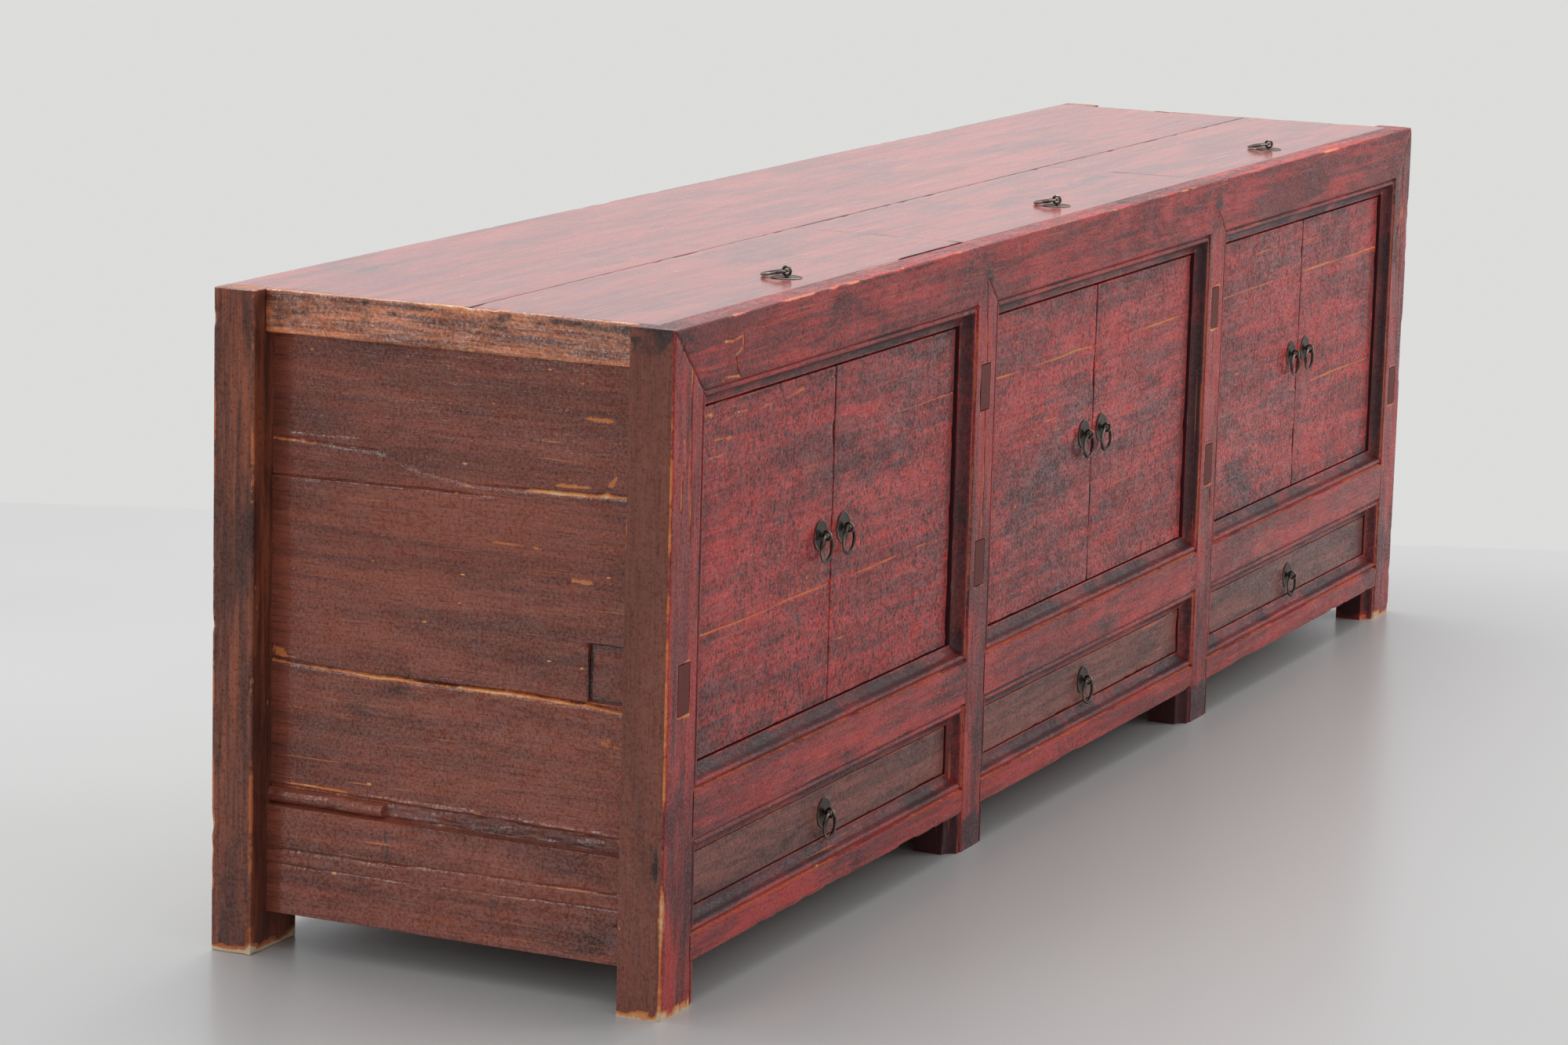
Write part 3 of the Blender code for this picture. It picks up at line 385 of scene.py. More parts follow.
COATS = {
    "post": lacquer(
        "post lacquer", "z", (0.420, 0.036, 0.029), (0.185, 0.021, 0.019), DARK,
        smears=0.68, scratches=0.85, wax=0.5, contrast=1.6, patchy=1.6,
    ),
    "end post": lacquer(
        "end post lacquer", "z", (0.215, 0.062, 0.037), (0.145, 0.040, 0.025), BLACK_BROWN,
        smears=0.2, scratches=0.2, undercoat=ORANGE, gloss=0.16, pores=0.4, nicks=0.8, patchy=1.4, tar=0.3,
    ),
    "rail": lacquer(
        "rail lacquer", "x", RED, DEEP_RED, DARK,
        smears=0.52, mottle=0.4, scratches=0.75, wax=0.52, contrast=1.5, patchy=1.6, haze=0.8,
    ),
    "top rail": lacquer(
        "top rail lacquer", "x", (0.430, 0.033, 0.027), (0.180, 0.019, 0.017), DARK,
        smears=0.55, mottle=0.5, scratches=0.75, wax=0.37, contrast=1.7, patchy=1.9,
    ),
    "door": lacquer(
        "door lacquer", "x", (0.540, 0.044, 0.036), (0.250, 0.025, 0.023), DARK,
        smears=0.40, mottle=0.95, scratches=0.7, mottle_squash=0.55, wax=0.50, contrast=1.3, nicks=0.70,
        wood=(0.60, 0.25, 0.08), patchy=1.9, broad=0.55, haze=1.5,
    ),
    "drawer": lacquer(
        "drawer lacquer", "x", (0.260, 0.076, 0.056), (0.125, 0.042, 0.034), (0.034, 0.017, 0.015),
        smears=0.5, mottle=0.4, scratches=0.7, gloss=0.24, wax=0.5, contrast=1.5, patchy=1.6,
    ),
    "top": lacquer(
        "top lacquer", "x", (0.400, 0.066, 0.048), (0.220, 0.044, 0.042), (0.100, 0.050, 0.052),
        smears=0.3, scratches=0.9, undercoat=(0.62, 0.20, 0.13), gloss=0.15, wax=0.95, wax_index=1.375,
        contrast=1.25, patchy=0.15, ripple=0.15, nicks=0.78,
    ),
    "end": lacquer(
        "end panel lacquer", "y", BROWN, DEEP_BROWN, BLACK_BROWN,
        smears=0.34, scratches=0.7, undercoat=ORANGE, wood=(0.66, 0.33, 0.13), gloss=0.12, ripple=0.8,
        contrast=1.2, wax=0.92, wax_index=1.46, pores=0.45, patchy=1.7, brushed=0.9, tar=0.6, haze=1.3,
    ),
    "end rail": lacquer(
        "end rail lacquer", "y", (0.680, 0.205, 0.074), (0.150, 0.036, 0.019), BLACK_BROWN,
        smears=0.5, scratches=0.5, undercoat=(0.55, 0.24, 0.09), gloss=0.12, contrast=1.6, ripple=3.2,
        wave=1.8, wax=1.0, wax_index=1.70, pores=0.4, patchy=1.7, brushed=1.0, tar=0.3,
    ),
    "back post": lacquer(
        "back post lacquer", "z", (0.280, 0.074, 0.034), (0.085, 0.026, 0.018), BLACK_BROWN,
        smears=0.25, scratches=0.3, undercoat=(0.42, 0.115, 0.038), wood=(0.46, 0.17, 0.06), gloss=0.12,
        contrast=1.4, ripple=0.7, wave=0.5, patchy=1.4,
    ),
    "wood x": bare_wood("inner board", "x"),
    "wood y": bare_wood("partition board", "y"),
    "iron": rubbed_iron("rubbed iron"),
}


def coat_for(node):
    """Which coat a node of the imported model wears."""
    for start, coat in (
        ("front_post", "post"), ("front_top_rail", "top rail"), ("sill_rail", "rail"),
        ("bottom_rail", "rail"), ("door", "door"), ("drawer_deck", "wood x"), ("drawer", "drawer"),
        ("lid_bearer", "wood x"), ("lid", "top"), ("back_top_board", "top"), ("end_panel", "end"),
        ("end_rail", "end rail"), ("back_post", "back post"), ("partition", "wood y"), ("pull", "iron"),
    ):
        if node.startswith(start):
            return COATS[coat]
    return COATS["wood x"]


def lattice(cell, seed):
    """A repeatable number from 0 to 1 for every whole-numbered cell.

    The cell's three numbers and the seed, each times a large whole number, are crossed bit by bit, stirred
    twice, and the lowest 16 bits are kept.
    """
    x, y, z = (cell[..., axis].astype(np.int64) for axis in range(3))
    mixed = (x * 73856093 ^ y * 19349663 ^ z * 83492791 ^ seed * 26544357) & 0xFFFFFFFF
    mixed = ((mixed ^ (mixed >> 13)) * 1274126177) & 0xFFFFFFFF
    return ((mixed ^ (mixed >> 16)) & 0xFFFF) / 65535.0


def noise(points, size, seed=0):
    """Value noise from -1 to 1: the corner numbers of each cell, eased between by 3t^2 - 2t^3."""
    scaled = points / np.asarray(size)
    cell = np.floor(scaled)
    part = scaled - cell
    part = part * part * (3 - 2 * part)
    total = 0
    for corner in np.ndindex(2, 2, 2):
        share = np.prod(np.where(corner, part, 1 - part), axis=-1)
        total = total + share * lattice(cell + corner, seed)
    return 2 * total - 1


def rough(points, size, seed=0, octaves=3):
    """Octaves of noise, each half as large and half as strong as the one before."""
    total, strength = 0, 0
    for octave in range(octaves):
        total = total + noise(points, np.asarray(size) / 2**octave, seed + octave) / 2**octave
        strength += 1 / 2**octave
    return total / strength


def ease(value, low, high):
    """A smooth step, 3t^2 - 2t^3, as the value goes from low to high."""
    part = np.clip((value - low) / (high - low), 0, 1)
    return part * part * (3 - 2 * part)


def near(distance, width):
    """1 on a line, falling as exp(-distance / width) on both sides of it."""
    return np.exp(-np.abs(distance) / width)


def bell(distance, width, power=2):
    """1 on a line, falling as exp(-(distance / width)^power) on both sides of it."""
    return np.exp(-((distance / width) ** power))


def ring_part(points, wear, coats=None):
    """A closed shell of rings, each ring closed on itself, with a flat cap at both ends.

    coats gives the coat number of each strip around the ring.
    """
    rings, around = points.shape[:2]
    index = np.arange(rings * around).reshape(rings, around)
    after = np.roll(index, -1, axis=1)
    quads = np.stack([index[:-1], after[:-1], after[1:], index[1:]], -1).reshape(-1, 4)
    coats = np.zeros(around, int) if coats is None else coats
    numbers = np.broadcast_to(coats, (rings - 1, around)).ravel().tolist()
    faces = quads.tolist() + [index[0][::-1].tolist(), index[-1].tolist()]
    return points.reshape(-1, 3), faces, wear.ravel(), numbers + [0, 0]


def spread(low, high, spacing, radius, extra=()):
    """Grid places from low to high: close together in the rounded ends, and about a spacing apart between."""
    count = max(1, round((high - low - 2 * radius) / spacing))
    middle = np.linspace(low + radius, high - radius, count + 1)
    ends = radius * np.array([0, 0.5, 2.2])
    return np.unique(np.round(np.concatenate([low + ends, middle, high - ends, extra]), 6))


def box_part(low, high, radius, spacing, relief, coat=0):
    """A cuboid with rounded arrises, raised or sunk by a relief.

    Each point of the cuboid's grid goes to the nearest point of a smaller cuboid, and out again by the
    radius.
    """
    low, high = np.array(low, float), np.array(high, float)
    lines = [spread(low[axis], high[axis], spacing[axis], radius) for axis in range(3)]
    points, faces, start = [], [], 0
    for axis in range(3):
        one, two = (other for other in range(3) if other != axis)
        first, second = np.meshgrid(lines[one], lines[two], indexing="ij")
        index = np.arange(first.size).reshape(first.shape)
        quads = np.stack([index[:-1, :-1], index[1:, :-1], index[1:, 1:], index[:-1, 1:]], -1).reshape(-1, 4)
        for place, inwards in ((low[axis], axis != 1), (high[axis], axis == 1)):
            grid = np.empty((first.size, 3))
            grid[:, axis], grid[:, one], grid[:, two] = place, first.ravel(), second.ravel()
            points.append(grid)
            faces += ((quads[:, ::-1] if inwards else quads) + start).tolist()
            start += first.size
    points = np.concatenate(points)
    inner = np.clip(points, low + radius, high - radius)
    normals = (points - inner) / np.linalg.norm(points - inner, axis=1, keepdims=True)
    edge = np.sort(np.minimum(points - low, high - points), axis=1)[:, 1]
    points = inner + radius * normals
    height, wear = relief(points, edge)
    return points + normals * height[:, None], faces, wear, [coat] * len(faces)


def aged(grain, seed, wave=0.0005, chip=0.0014, rub=0.62, dirt_and_shade=0.0):
    """The relief of an old board: slow waves along its grain, and chips, wear, dirt and painted shade at its
    arrises.
    """
    size = np.where(np.arange(3) == "xyz".index(grain), 0.32, 0.075)

    def relief(points, edge):
        """The waves less the chips, and the wear less the dirt and painted shade, by the distance from an arris.
        """
        chips = ease(rough(points, 0.024, seed + 7), 0.12, 0.55) * near(edge, 0.0026)
        wear = near(edge, 0.0017) * (rub + 0.6 * rough(points, 0.055, seed + 11)) + 0.6 * chips
        stain = ease(rough(points, 0.06, seed + 17), -0.5, 0.4) * ease(edge, 0.0008, 0.004)
        # Dirt and painted shade, in blotches, falling off over about 13 mm from the arrises
        wear = wear - dirt_and_shade * near(edge, 0.013) * stain
        return wave * rough(points, size, seed) - chip * chips, wear

    return relief


def plain(points, edge):
    """No relief, and a little wear at the arrises."""
    return np.zeros(len(points)), near(edge, 0.001) * 0.4


def outline(corners, radii, spacing):
    """A closed polygon's points, with an arc of its own radius at each right-angled corner.

    Also gives each point's outward normal, and how far it lies along the outline from a corner.
    """
    corners = np.array(corners, float)
    points, edge = [], []
    for number, here in enumerate(corners):
        after = corners[(number + 1) % len(corners)]
        back = corners[number - 1] - here
        ahead = after - here
        reach = np.linalg.norm(ahead)
        back, ahead = back / np.linalg.norm(back), ahead / reach
        radius, next_radius = radii[number], radii[(number + 1) % len(corners)]
        if radius:
            turn = np.linspace(0, math.pi / 2, 4 if radius < 0.004 else 9)[:, None]
            points.append(here + radius * (back + ahead - ahead * np.cos(turn) - back * np.sin(turn)))
        else:
            points.append(here[None])
        edge.append(np.zeros(len(points[-1])))
        count = max(1, round((reach - radius - next_radius) / spacing))
        steps = np.linspace(radius, reach - next_radius, count + 1)[1:-1]
        if count > 2 and reach > 0.02:
            steps = np.unique(np.concatenate([[radius + 0.0015], steps, [reach - next_radius - 0.0015]]))
        points.append(here + ahead * steps[:, None])
        edge.append(np.minimum(steps - radius, reach - next_radius - steps))
    points, edge = np.concatenate(points), np.concatenate(edge)
    along_it = np.roll(points, -1, axis=0) - np.roll(points, 1, axis=0)
    normals = np.stack([along_it[:, 1], -along_it[:, 0]], 1)
    area = np.sum(points[:, 0] * np.roll(points[:, 1], -1) - np.roll(points[:, 0], -1) * points[:, 1])
    normals *= math.copysign(1, area) / np.linalg.norm(normals, axis=1, keepdims=True)
    return points, normals, edge


def carried_part(shape, axis, places, relief, clamp=None, eased=0.0012):
    """An outline carried along an axis, eased at both ends, and raised or sunk by a relief.

    eased draws the outline in by r - sqrt(r^2 - (r - e)^2) at a distance e from an end.
    """
    flat, normals, edge = shape
    places = np.asarray(places)
    end = np.minimum(places - places[0], places[-1] - places)
    drawn = eased - np.sqrt(eased**2 - np.clip(eased - end, 0, eased) ** 2)
    spots = flat[None] - normals[None] * drawn[:, None, None]
    if clamp:
        spots = clamp(spots, places)
    others = [other for other in range(3) if other != axis]
    points = np.empty((len(places), len(flat), 3))
    points[..., axis] = places[:, None]
    points[..., others] = spots
    nearest = np.minimum(edge[None], end[:, None])
    height, wear = relief(points.reshape(-1, 3), nearest.ravel())
    shift = normals[None] * height.reshape(nearest.shape)[..., None]
    points[..., others] += shift
    return ring_part(points, wear)


def turned(part, rotation, place):
    """A part turned by a matrix and then moved to a place."""
    points, faces, wear, numbers = part
    return points @ np.array(rotation, float).T + np.array(place, float), faces, wear, numbers


def outwards(points, faces):
    """A closed part's faces, all turned round if its volume comes out negative.

    The volume is six times less than the sum of a . (b x c) over the triangles that the faces fan out into.
    """
    fans = np.array([(face[0], face[i], face[i + 1]) for face in faces for i in range(1, len(face) - 1)])
    a, b, c = (points[fans[:, corner]] - points.mean(0) for corner in range(3))
    return [face[::-1] for face in faces] if np.sum(a * np.cross(b, c)) < 0 else faces


def sealed(part):
    """A closed part whose points at one place are one, without faces that have no area, facing outwards."""
    points, faces, wear, numbers = part
    key = np.round(points * PLACES_PER_METRE).astype(np.int64)
    _, first, back = np.unique(key, axis=0, return_index=True, return_inverse=True)
    back = back.ravel().tolist()
    kept, kept_numbers = [], []
    for face, number in zip(faces, numbers):
        corners = [back[corner] for corner in face]
        corners = [one for one, before in zip(corners, corners[-1:] + corners[:-1]) if one != before]
        if len(corners) > 2 and len(set(corners)) == len(corners):
            kept.append(corners)
            kept_numbers.append(number)
    return points[first], outwards(points[first], kept), wear[first], kept_numbers


def make_piece(name, node, parts, coats):
    """One object of several closed parts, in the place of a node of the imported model."""
    all_points, all_faces, all_wear, all_coats, start = [], [], [], [], 0
    for points, faces, wear, numbers in map(sealed, parts):
        all_points.append(points)
        all_wear.append(wear)
        all_faces += [[corner + start for corner in face] for face in faces]
        all_coats += numbers
        start += len(points)
    mesh = bpy.data.meshes.new(name)
    mesh.from_pydata(np.concatenate(all_points), [], all_faces)
    worn = mesh.attributes.new("wear", "FLOAT", "POINT")
    worn.data.foreach_set("value", np.clip(np.concatenate(all_wear), -1, 1.5).astype(np.float32))
    for coat in coats:
        mesh.materials.append(COATS[coat])
    mesh.polygons.foreach_set("material_index", all_coats)
    mesh.shade_smooth()
    mesh.set_sharp_from_angle(angle=SHARP_ANGLE)
    piece = bpy.data.objects.new(name, mesh)
    bpy.context.scene.collection.objects.link(piece)
    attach(piece, BODY_OF[node])
    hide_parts(node)
    return piece


def moulding_depth(beyond):
    """How deep the moulding lies, by the distance beyond the plain face.

    A groove, then a bead (depth falls by the sine where the place runs by the cosine), then a quarter cove.
    It is averaged over a millimetre, as handling rounds its corners.
    """
    total = 0
    shifts = (-0.0005, -0.00025, 0, 0.00025, 0.0005)
    for shift in shifts:
        place = np.clip(beyond + shift, -1, MOULDING)
        bead = np.sqrt(np.clip(1 - ((place - GROOVE - BEAD / 2) / (BEAD / 2)) ** 2, 0, 1))
        cove = np.sqrt(np.clip(1 - ((MOULDING - place) / (MOULDING - GROOVE - BEAD)) ** 2, 0, 1))
        cove_depth = GROOVE_DEPTH + (MOULDING_DEPTH - GROOVE_DEPTH) * cove
        depth = np.where(place > GROOVE + BEAD, cove_depth, GROOVE_DEPTH)
        on_bead = (place > GROOVE) & (place < GROOVE + BEAD)
        depth = np.where(on_bead, GROOVE_DEPTH - (GROOVE_DEPTH - BEAD_DROP) * bead, depth)
        total = total + np.where(place < 0, 0, depth)
    return total / len(shifts)


# Grid places over a moulded and a plain side, beyond the plain face
MOULDING_PLACES = 0.001 * np.array([
    -4, -1.6, -0.8, -0.3, 0, 0.3, 0.8, 1.5, 2.3, 3, 3.8, 4.8,
    5.75, 6.7, 7.7, 8.5, 9.2, 10, 11.5, 13.5, 16, 18.5, 20.2, 21,
])
PLAIN_PLACES = 0.001 * np.array([0, -0.3, -0.9, -1.8, -3, -5])
MARK_PLACES = np.array([[-0.0011], [-0.0005], [0.0005], [0.0011]])
# Grid places down a bar's walls, as shares of the way from its front to its back
MOULDED_WALL_SHARES = np.array([0.03, 0.2, 0.45, 0.75, 1.0])
PLAIN_WALL_SHARES = np.array([0.03, 0.07, 0.14, 0.3, 0.5, 0.7, 0.9, 1.0])
BACK_SHARES = np.linspace(0, 1, 6)[1:-1]
CHIP, MORTISE_SINK, SPLIT_SINK = 0.0016, 0.004, 0.0014
# How much painted shade darkens a moulded side's wall, which faces the gap round a door or drawer
GAP_SHADE = 0.95


def bar_lines(face, moulded, marks, splits):
    """Grid places across a bar's front: close together over its sides, at tenon ends and at splits."""
    low_face, high_face = face
    low_places, high_places = (MOULDING_PLACES if is_moulded else PLAIN_PLACES for is_moulded in moulded)
    count = max(2, round((high_face - low_face) / 0.008))
    inside = np.linspace(low_face + 0.006, high_face - 0.006, count)
    lines = [low_face - low_places, high_face + high_places, inside]
    for middle, half, _, _ in marks:
        lines.append(middle + half * np.array([-1, 1]) + MARK_PLACES)
    for split in splits:
        reached = [across for _, across in split]
        lines.append(np.arange(min(reached) - 0.003, max(reached) + 0.003, 0.0011))
    return np.unique(np.round(np.concatenate([line.ravel() for line in lines]), 6))


def front_depth(spot, face, moulded):
    """How deep a bar's front lies under its plain face: the moulding's depth, or a plain side's arris."""
    beyond = np.maximum(face[0] - spot if moulded[0] else -1.0, spot - face[1] if moulded[1] else -1.0)
    depth = moulding_depth(beyond)
    for is_moulded, line in zip(moulded, face):
        if not is_moulded:
            inset = np.clip(PLAIN_ARRIS - np.abs(spot - line), 0, PLAIN_ARRIS)
            depth = depth + PLAIN_ARRIS - np.sqrt(PLAIN_ARRIS**2 - inset**2)
    return depth


def side_wall(bound, depth, is_moulded):
    """A bar's side from its front to its back: how far out each of its points lies, and how deep."""
    down = depth + (POST_DEPTH - depth) * (MOULDED_WALL_SHARES if is_moulded else PLAIN_WALL_SHARES)
    return np.broadcast_to(bound[:, None], down.shape), down


def shelf_wall(places, bound, level, reach):
    """A bar's high side that steps down to a level behind its front strip, as far along as it reaches."""
    shelf = np.where(np.abs(places) < reach, level, bound)
    out = np.stack([bound, bound, shelf, shelf], 1)
    return out, np.tile([TOP_STRIP_GRID, TOP_STRIP, TOP_STRIP, POST_DEPTH], (len(places), 1))


class Bar:
    """A post or rail of the front frame: its section, cut off by two bounds, carried along its length.

    face is the span of the plain face across the bar, bounds gives how far the wood reaches at each place,
    and moulded says which sides have the moulding. Side 0 is the low one and side 1 the high one. shelf is
    the step that carries the top boards.
    """

    def __init__(self, upright, places, face, bounds, moulded, lines, shelf, seed):
        """The points round the bar at each place: its front, its high side, its back and its low side."""
        self.upright, self.places, self.face, self.seed = upright, places, face, seed
        self.bounds = bounds(places)
        low_bound, high_bound = self.bounds
        self.spot = np.clip(lines[None], low_bound[:, None], high_bound[:, None])
        depth = front_depth(self.spot, face, moulded)
        low_out, low_down = side_wall(low_bound, depth[:, :1], moulded[0])
        if shelf is None:
            high_out, high_down = side_wall(high_bound, depth[:, -1:], moulded[1])
        else:
            high_out, high_down = shelf_wall(places, high_bound, *shelf)
        corner = high_out[:, -1:]
        back = corner + (low_bound[:, None] - corner) * BACK_SHARES
        spots = np.concatenate([self.spot, high_out, back, low_out[:, ::-1]], 1)
        back_down = np.full(back.shape, POST_DEPTH)
        self.deep = np.concatenate([depth, high_down, back_down, low_down[:, ::-1]], 1)
        run = np.broadcast_to(places[:, None], spots.shape)
        order = (spots, FRONT + self.deep, run) if upright else (run, FRONT + self.deep, spots)
        self.points = np.stack(order, -1)
        front_stop = depth.shape[1]
        high_stop = front_stop + high_out.shape[1]
        self.front = slice(0, front_stop)
        self.sides = (slice(high_stop + back.shape[1], spots.shape[1]), slice(front_stop, high_stop))
        self.wear, self.sink, self.shift = (np.zeros(spots.shape) for _ in range(3))
        self.patchy = rough(self.points, 0.07, seed + 3)
        self.fine = rough(self.points, 0.016, seed + 5)

    def wear_moulding(self, side):
        """Wear on a moulding's lip, bead and inner edge, dirt in its hollows, and its open mitre joints."""
        front, bound, inwards = self.front, self.bounds[side], 1 - 2 * side
        patchy, fine = self.patchy[:, front], self.fine[:, front]
        past = (self.face[side] - self.spot) * inwards
        room = (self.face[side] - bound) * inwards
        there = ease(room, 0.001, 0.004)[:, None]
        lip = near(past, 0.0012) * there
        bead = bell(past - GROOVE - BEAD / 2, 0.0017) * there
        inner = near(MOULDING - past, 0.0011) * there
        hollow = ease(past, 0.0012, 0.0026) * (1 - 0.8 * inner)
        joint = near(self.spot - bound[:, None], 0.0010)
        joint = joint * (1 - ease(room, MOULDING - 0.0012, MOULDING - 0.0002))[:, None]
        amount = lip * (0.70 + 0.75 * patchy) + bead * (0.12 + 0.6 * patchy)
        amount += inner * (0.22 + 0.7 * patchy)
        amount -= hollow * (0.56 + 0.30 * patchy - 0.45 * bead)
        amount -= 0.35 * near(np.minimum(past + 0.004, 0), 0.004) * ease(patchy, -0.1, 0.5)
        self.wear[:, front] += amount
        self.wear[:, front] += 1.1 * joint * (0.6 + patchy)
        self.sink[:, front] += 0.0007 * ease(fine, 0.15, 0.5) * (lip + 0.7 * inner)
        self.sink[:, front] += 0.0012 * joint

    def chip(self, columns, arris, outer_wear):
        """Wear along an arris in some of the columns of points. Gives how deep it is chipped, from 0 to 1."""
        chips = ease(rough(self.points[:, columns], 0.028, self.seed + 9), 0.05, 0.5) * arris
        self.wear[:, columns] += outer_wear * arris * (0.72 + 0.5 * self.patchy[:, columns]) + 0.5 * chips
        return chips

    def wear_plain_front(self, side, outer_wear):
        """Wear and chips along the front of a plain side's arris."""
        arris = near(self.spot - self.bounds[side][:, None], 0.0024)
        chips = self.chip(self.front, arris, outer_wear)
        self.sink[:, self.front] += CHIP * chips
        self.shift[:, self.front] += (1 - 2 * side) * CHIP * chips

    def wear_plain_side(self, side, outer_wear):
        """Slow waves down a plain side, and wear and chips along its arris and its back edge."""
        columns = self.sides[side]
        chips = self.chip(columns, near(self.deep[:, columns], 0.0026), outer_wear)
        waves = 0.0003 * rough(self.points[:, columns], 0.07, self.seed + 13)
        self.shift[:, columns] += (1 - 2 * side) * (CHIP * chips + waves)
        back_edge = near(POST_DEPTH - self.deep[:, columns], 0.0015)
        self.wear[:, columns] += back_edge * (0.3 + 0.5 * self.patchy[:, columns])

    def wave_front(self):
        """Slow waves over the front, five times as long along the bar as across it."""
        size = (0.06, 0.06, 0.3) if self.upright else (0.3, 0.06, 0.06)
        self.sink[:, self.front] += 0.00035 * rough(self.points[:, self.front], size, self.seed)

    def open_mortise(self, middle, half, low, high):
        """A mortise through the front, which a tenon's end fills, with worn edges and frayed ends."""
        places, front = self.places, self.front
        aside = np.abs(self.spot - middle)
        over = np.maximum(aside - half, np.maximum(low - places, places - high)[:, None])
        ends = near(np.minimum(np.abs(places - low), np.abs(places - high)), 0.003)[:, None]
        ends = ends * ease(half + 0.002 - aside, 0, 0.002)
        self.sink[:, front] += MORTISE_SINK * (1 - ease(over, 0.0004, 0.0012))
        self.wear[:, front] += 0.7 * near(over - 0.0012, 0.0011) * (0.5 + self.patchy[:, front])
        self.wear[:, front] += ends * (0.45 + 1.6 * self.fine[:, front])

    def split(self, line):
        """A crack in the front along a line, a bell curve across, with worn edges."""
        spots = np.stack(np.broadcast_arrays(self.places[:, None], self.spot), -1)
        away = off_line(spots, line)
        self.sink[:, self.front] += SPLIT_SINK * bell(away, 0.0010)
        edges = near(np.maximum(away - 0.0007, 0), 0.0008)
        self.wear[:, self.front] += edges * (0.72 + 0.75 * self.fine[:, self.front])

    def part(self, coats):
        """The bar as a part, with one coat on its high side and its back, and one on its low side."""
        self.points[..., 1] += self.sink
        self.points[..., 0 if self.upright else 2] += self.shift
        low_start = self.sides[0].start - 1
        strips = np.zeros(self.points.shape[1], int)
        strips[self.front.stop - 1 : low_start] = coats[0]
        strips[low_start:] = coats[1]
        return ring_part(self.points, self.wear, strips)


def bar_part(
    upright, places, face, bounds, moulded, coats=(0, 0), marks=(), splits=(), shelf=None, seed=0,
    outer_wear=0.6,
):
    """A worn post or rail of the front frame.

    marks are the rectangles that show a tenon's end, and splits are lines of (along, across) points that the
    face has cracked on.
    """
    lines = bar_lines(face, moulded, marks, splits)
    bar = Bar(upright, places, face, bounds, moulded, lines, shelf, seed)
    for side in (0, 1):
        if moulded[side]:
            bar.wear_moulding(side)
            # Painted shade on the moulded side's wall, in the gap round the door or drawer
            bar.wear[:, bar.sides[side]] -= GAP_SHADE
        else:
            bar.wear_plain_front(side, outer_wear)
            if side == 0 or shelf is None:
                bar.wear_plain_side(side, outer_wear)
    bar.wave_front()
    for mark in marks:
        bar.open_mortise(*mark)
    for line in splits:
        bar.split(line)
    return bar.part(coats)


def off_line(spots, line):
    """How far each spot lies from a line of straight stretches: the least distance to any of them."""
    line = np.array(line, float)
    least = np.full(spots.shape[:-1], np.inf)
    for start, stop in zip(line[:-1], line[1:]):
        run = stop - start
        share = np.clip((spots - start) @ run / (run @ run), 0, 1)
        least = np.minimum(least, np.linalg.norm(spots - start - share[..., None] * run, axis=-1))
    return least


def dense(low, high, spacing, zones=()):
    """Places a spacing apart from low to high, closer together within each (from, to, spacing) zone."""
    places = [np.linspace(low, high, round((high - low) / spacing) + 1)]
    for start, stop, step in zones:
        places.append(np.arange(start, stop + step / 2, step))
    places = np.unique(np.round(np.concatenate(places), 6))
    return places[(places > low - 2e-6) & (places < high + 2e-6)]


def bay_middle(bay):
    """Where the middle of a bay lies along the cabinet."""
    return (bay - 1) * PITCH


def post_reach(places):
    """How far a post's moulded side reaches beyond its plain face at each height: mitred at every rail."""
    door = np.minimum(places - SILL_HIGH, TOP_LOW - places)
    drawer = np.minimum(places - BOTTOM_HIGH, SILL_LOW - places)
    reach = np.clip(np.maximum(door, drawer), 0, MOULDING)
    reach = np.where(places < LEG_CLEAR, MOULDING, reach)
    return np.where(places > TOP_LOW, TOP_LOW - places, reach)


MITRE_RUN, MITRE_GRID = 0.022, 0.0015
# Heights at which a post's mouldings are mitred: (from, to, spacing)
MITRES = (
    (BOTTOM_HIGH, BOTTOM_HIGH + MITRE_RUN, MITRE_GRID),
    (SILL_LOW - MITRE_RUN, SILL_LOW, MITRE_GRID),
    (SILL_HIGH, SILL_HIGH + MITRE_RUN, MITRE_GRID),
    (TOP_LOW - MITRE_RUN, TOP_LOW + MIDDLE_FLAT / 2 + 0.0005, MITRE_GRID),
)


def post_places(top, marks):
    """Heights of a post's rings: close together at the mitres, the leg's shoulder and the tenon ends."""
    zones = list(MITRES) + [(LEG_CLEAR - 0.0006, LEG_CLEAR + 0.0006, 0.0006)]
    for _, _, low, high in marks:
        zones += [(level - 0.0012, level + 0.0012, 0.0004) for level in (low, high)]
    return dense(0.0, top, 0.006, zones)


def soiled(part):
    """A middle post with dirt over its pointed top, and darker on the front and the sides of its leg."""
    points, faces, wear, numbers = part
    blotch = 0.7 + 0.6 * rough(points, 0.03, 290)
    leg_side = ease(0.052 - points[:, 2], 0, 0.01) * ease(points[:, 1] - FRONT, 0.001, 0.006)
    leg_front = 1.1 * ease(0.056 + 0.015 * rough(points, 0.02, 291) - points[:, 2], 0, 0.02)
    dirt_and_shade = 0.65 * ease(points[:, 2], 0.575, 0.635) + 0.95 * np.maximum(leg_side, leg_front)
    return points, faces, wear - dirt_and_shade * blotch, numbers


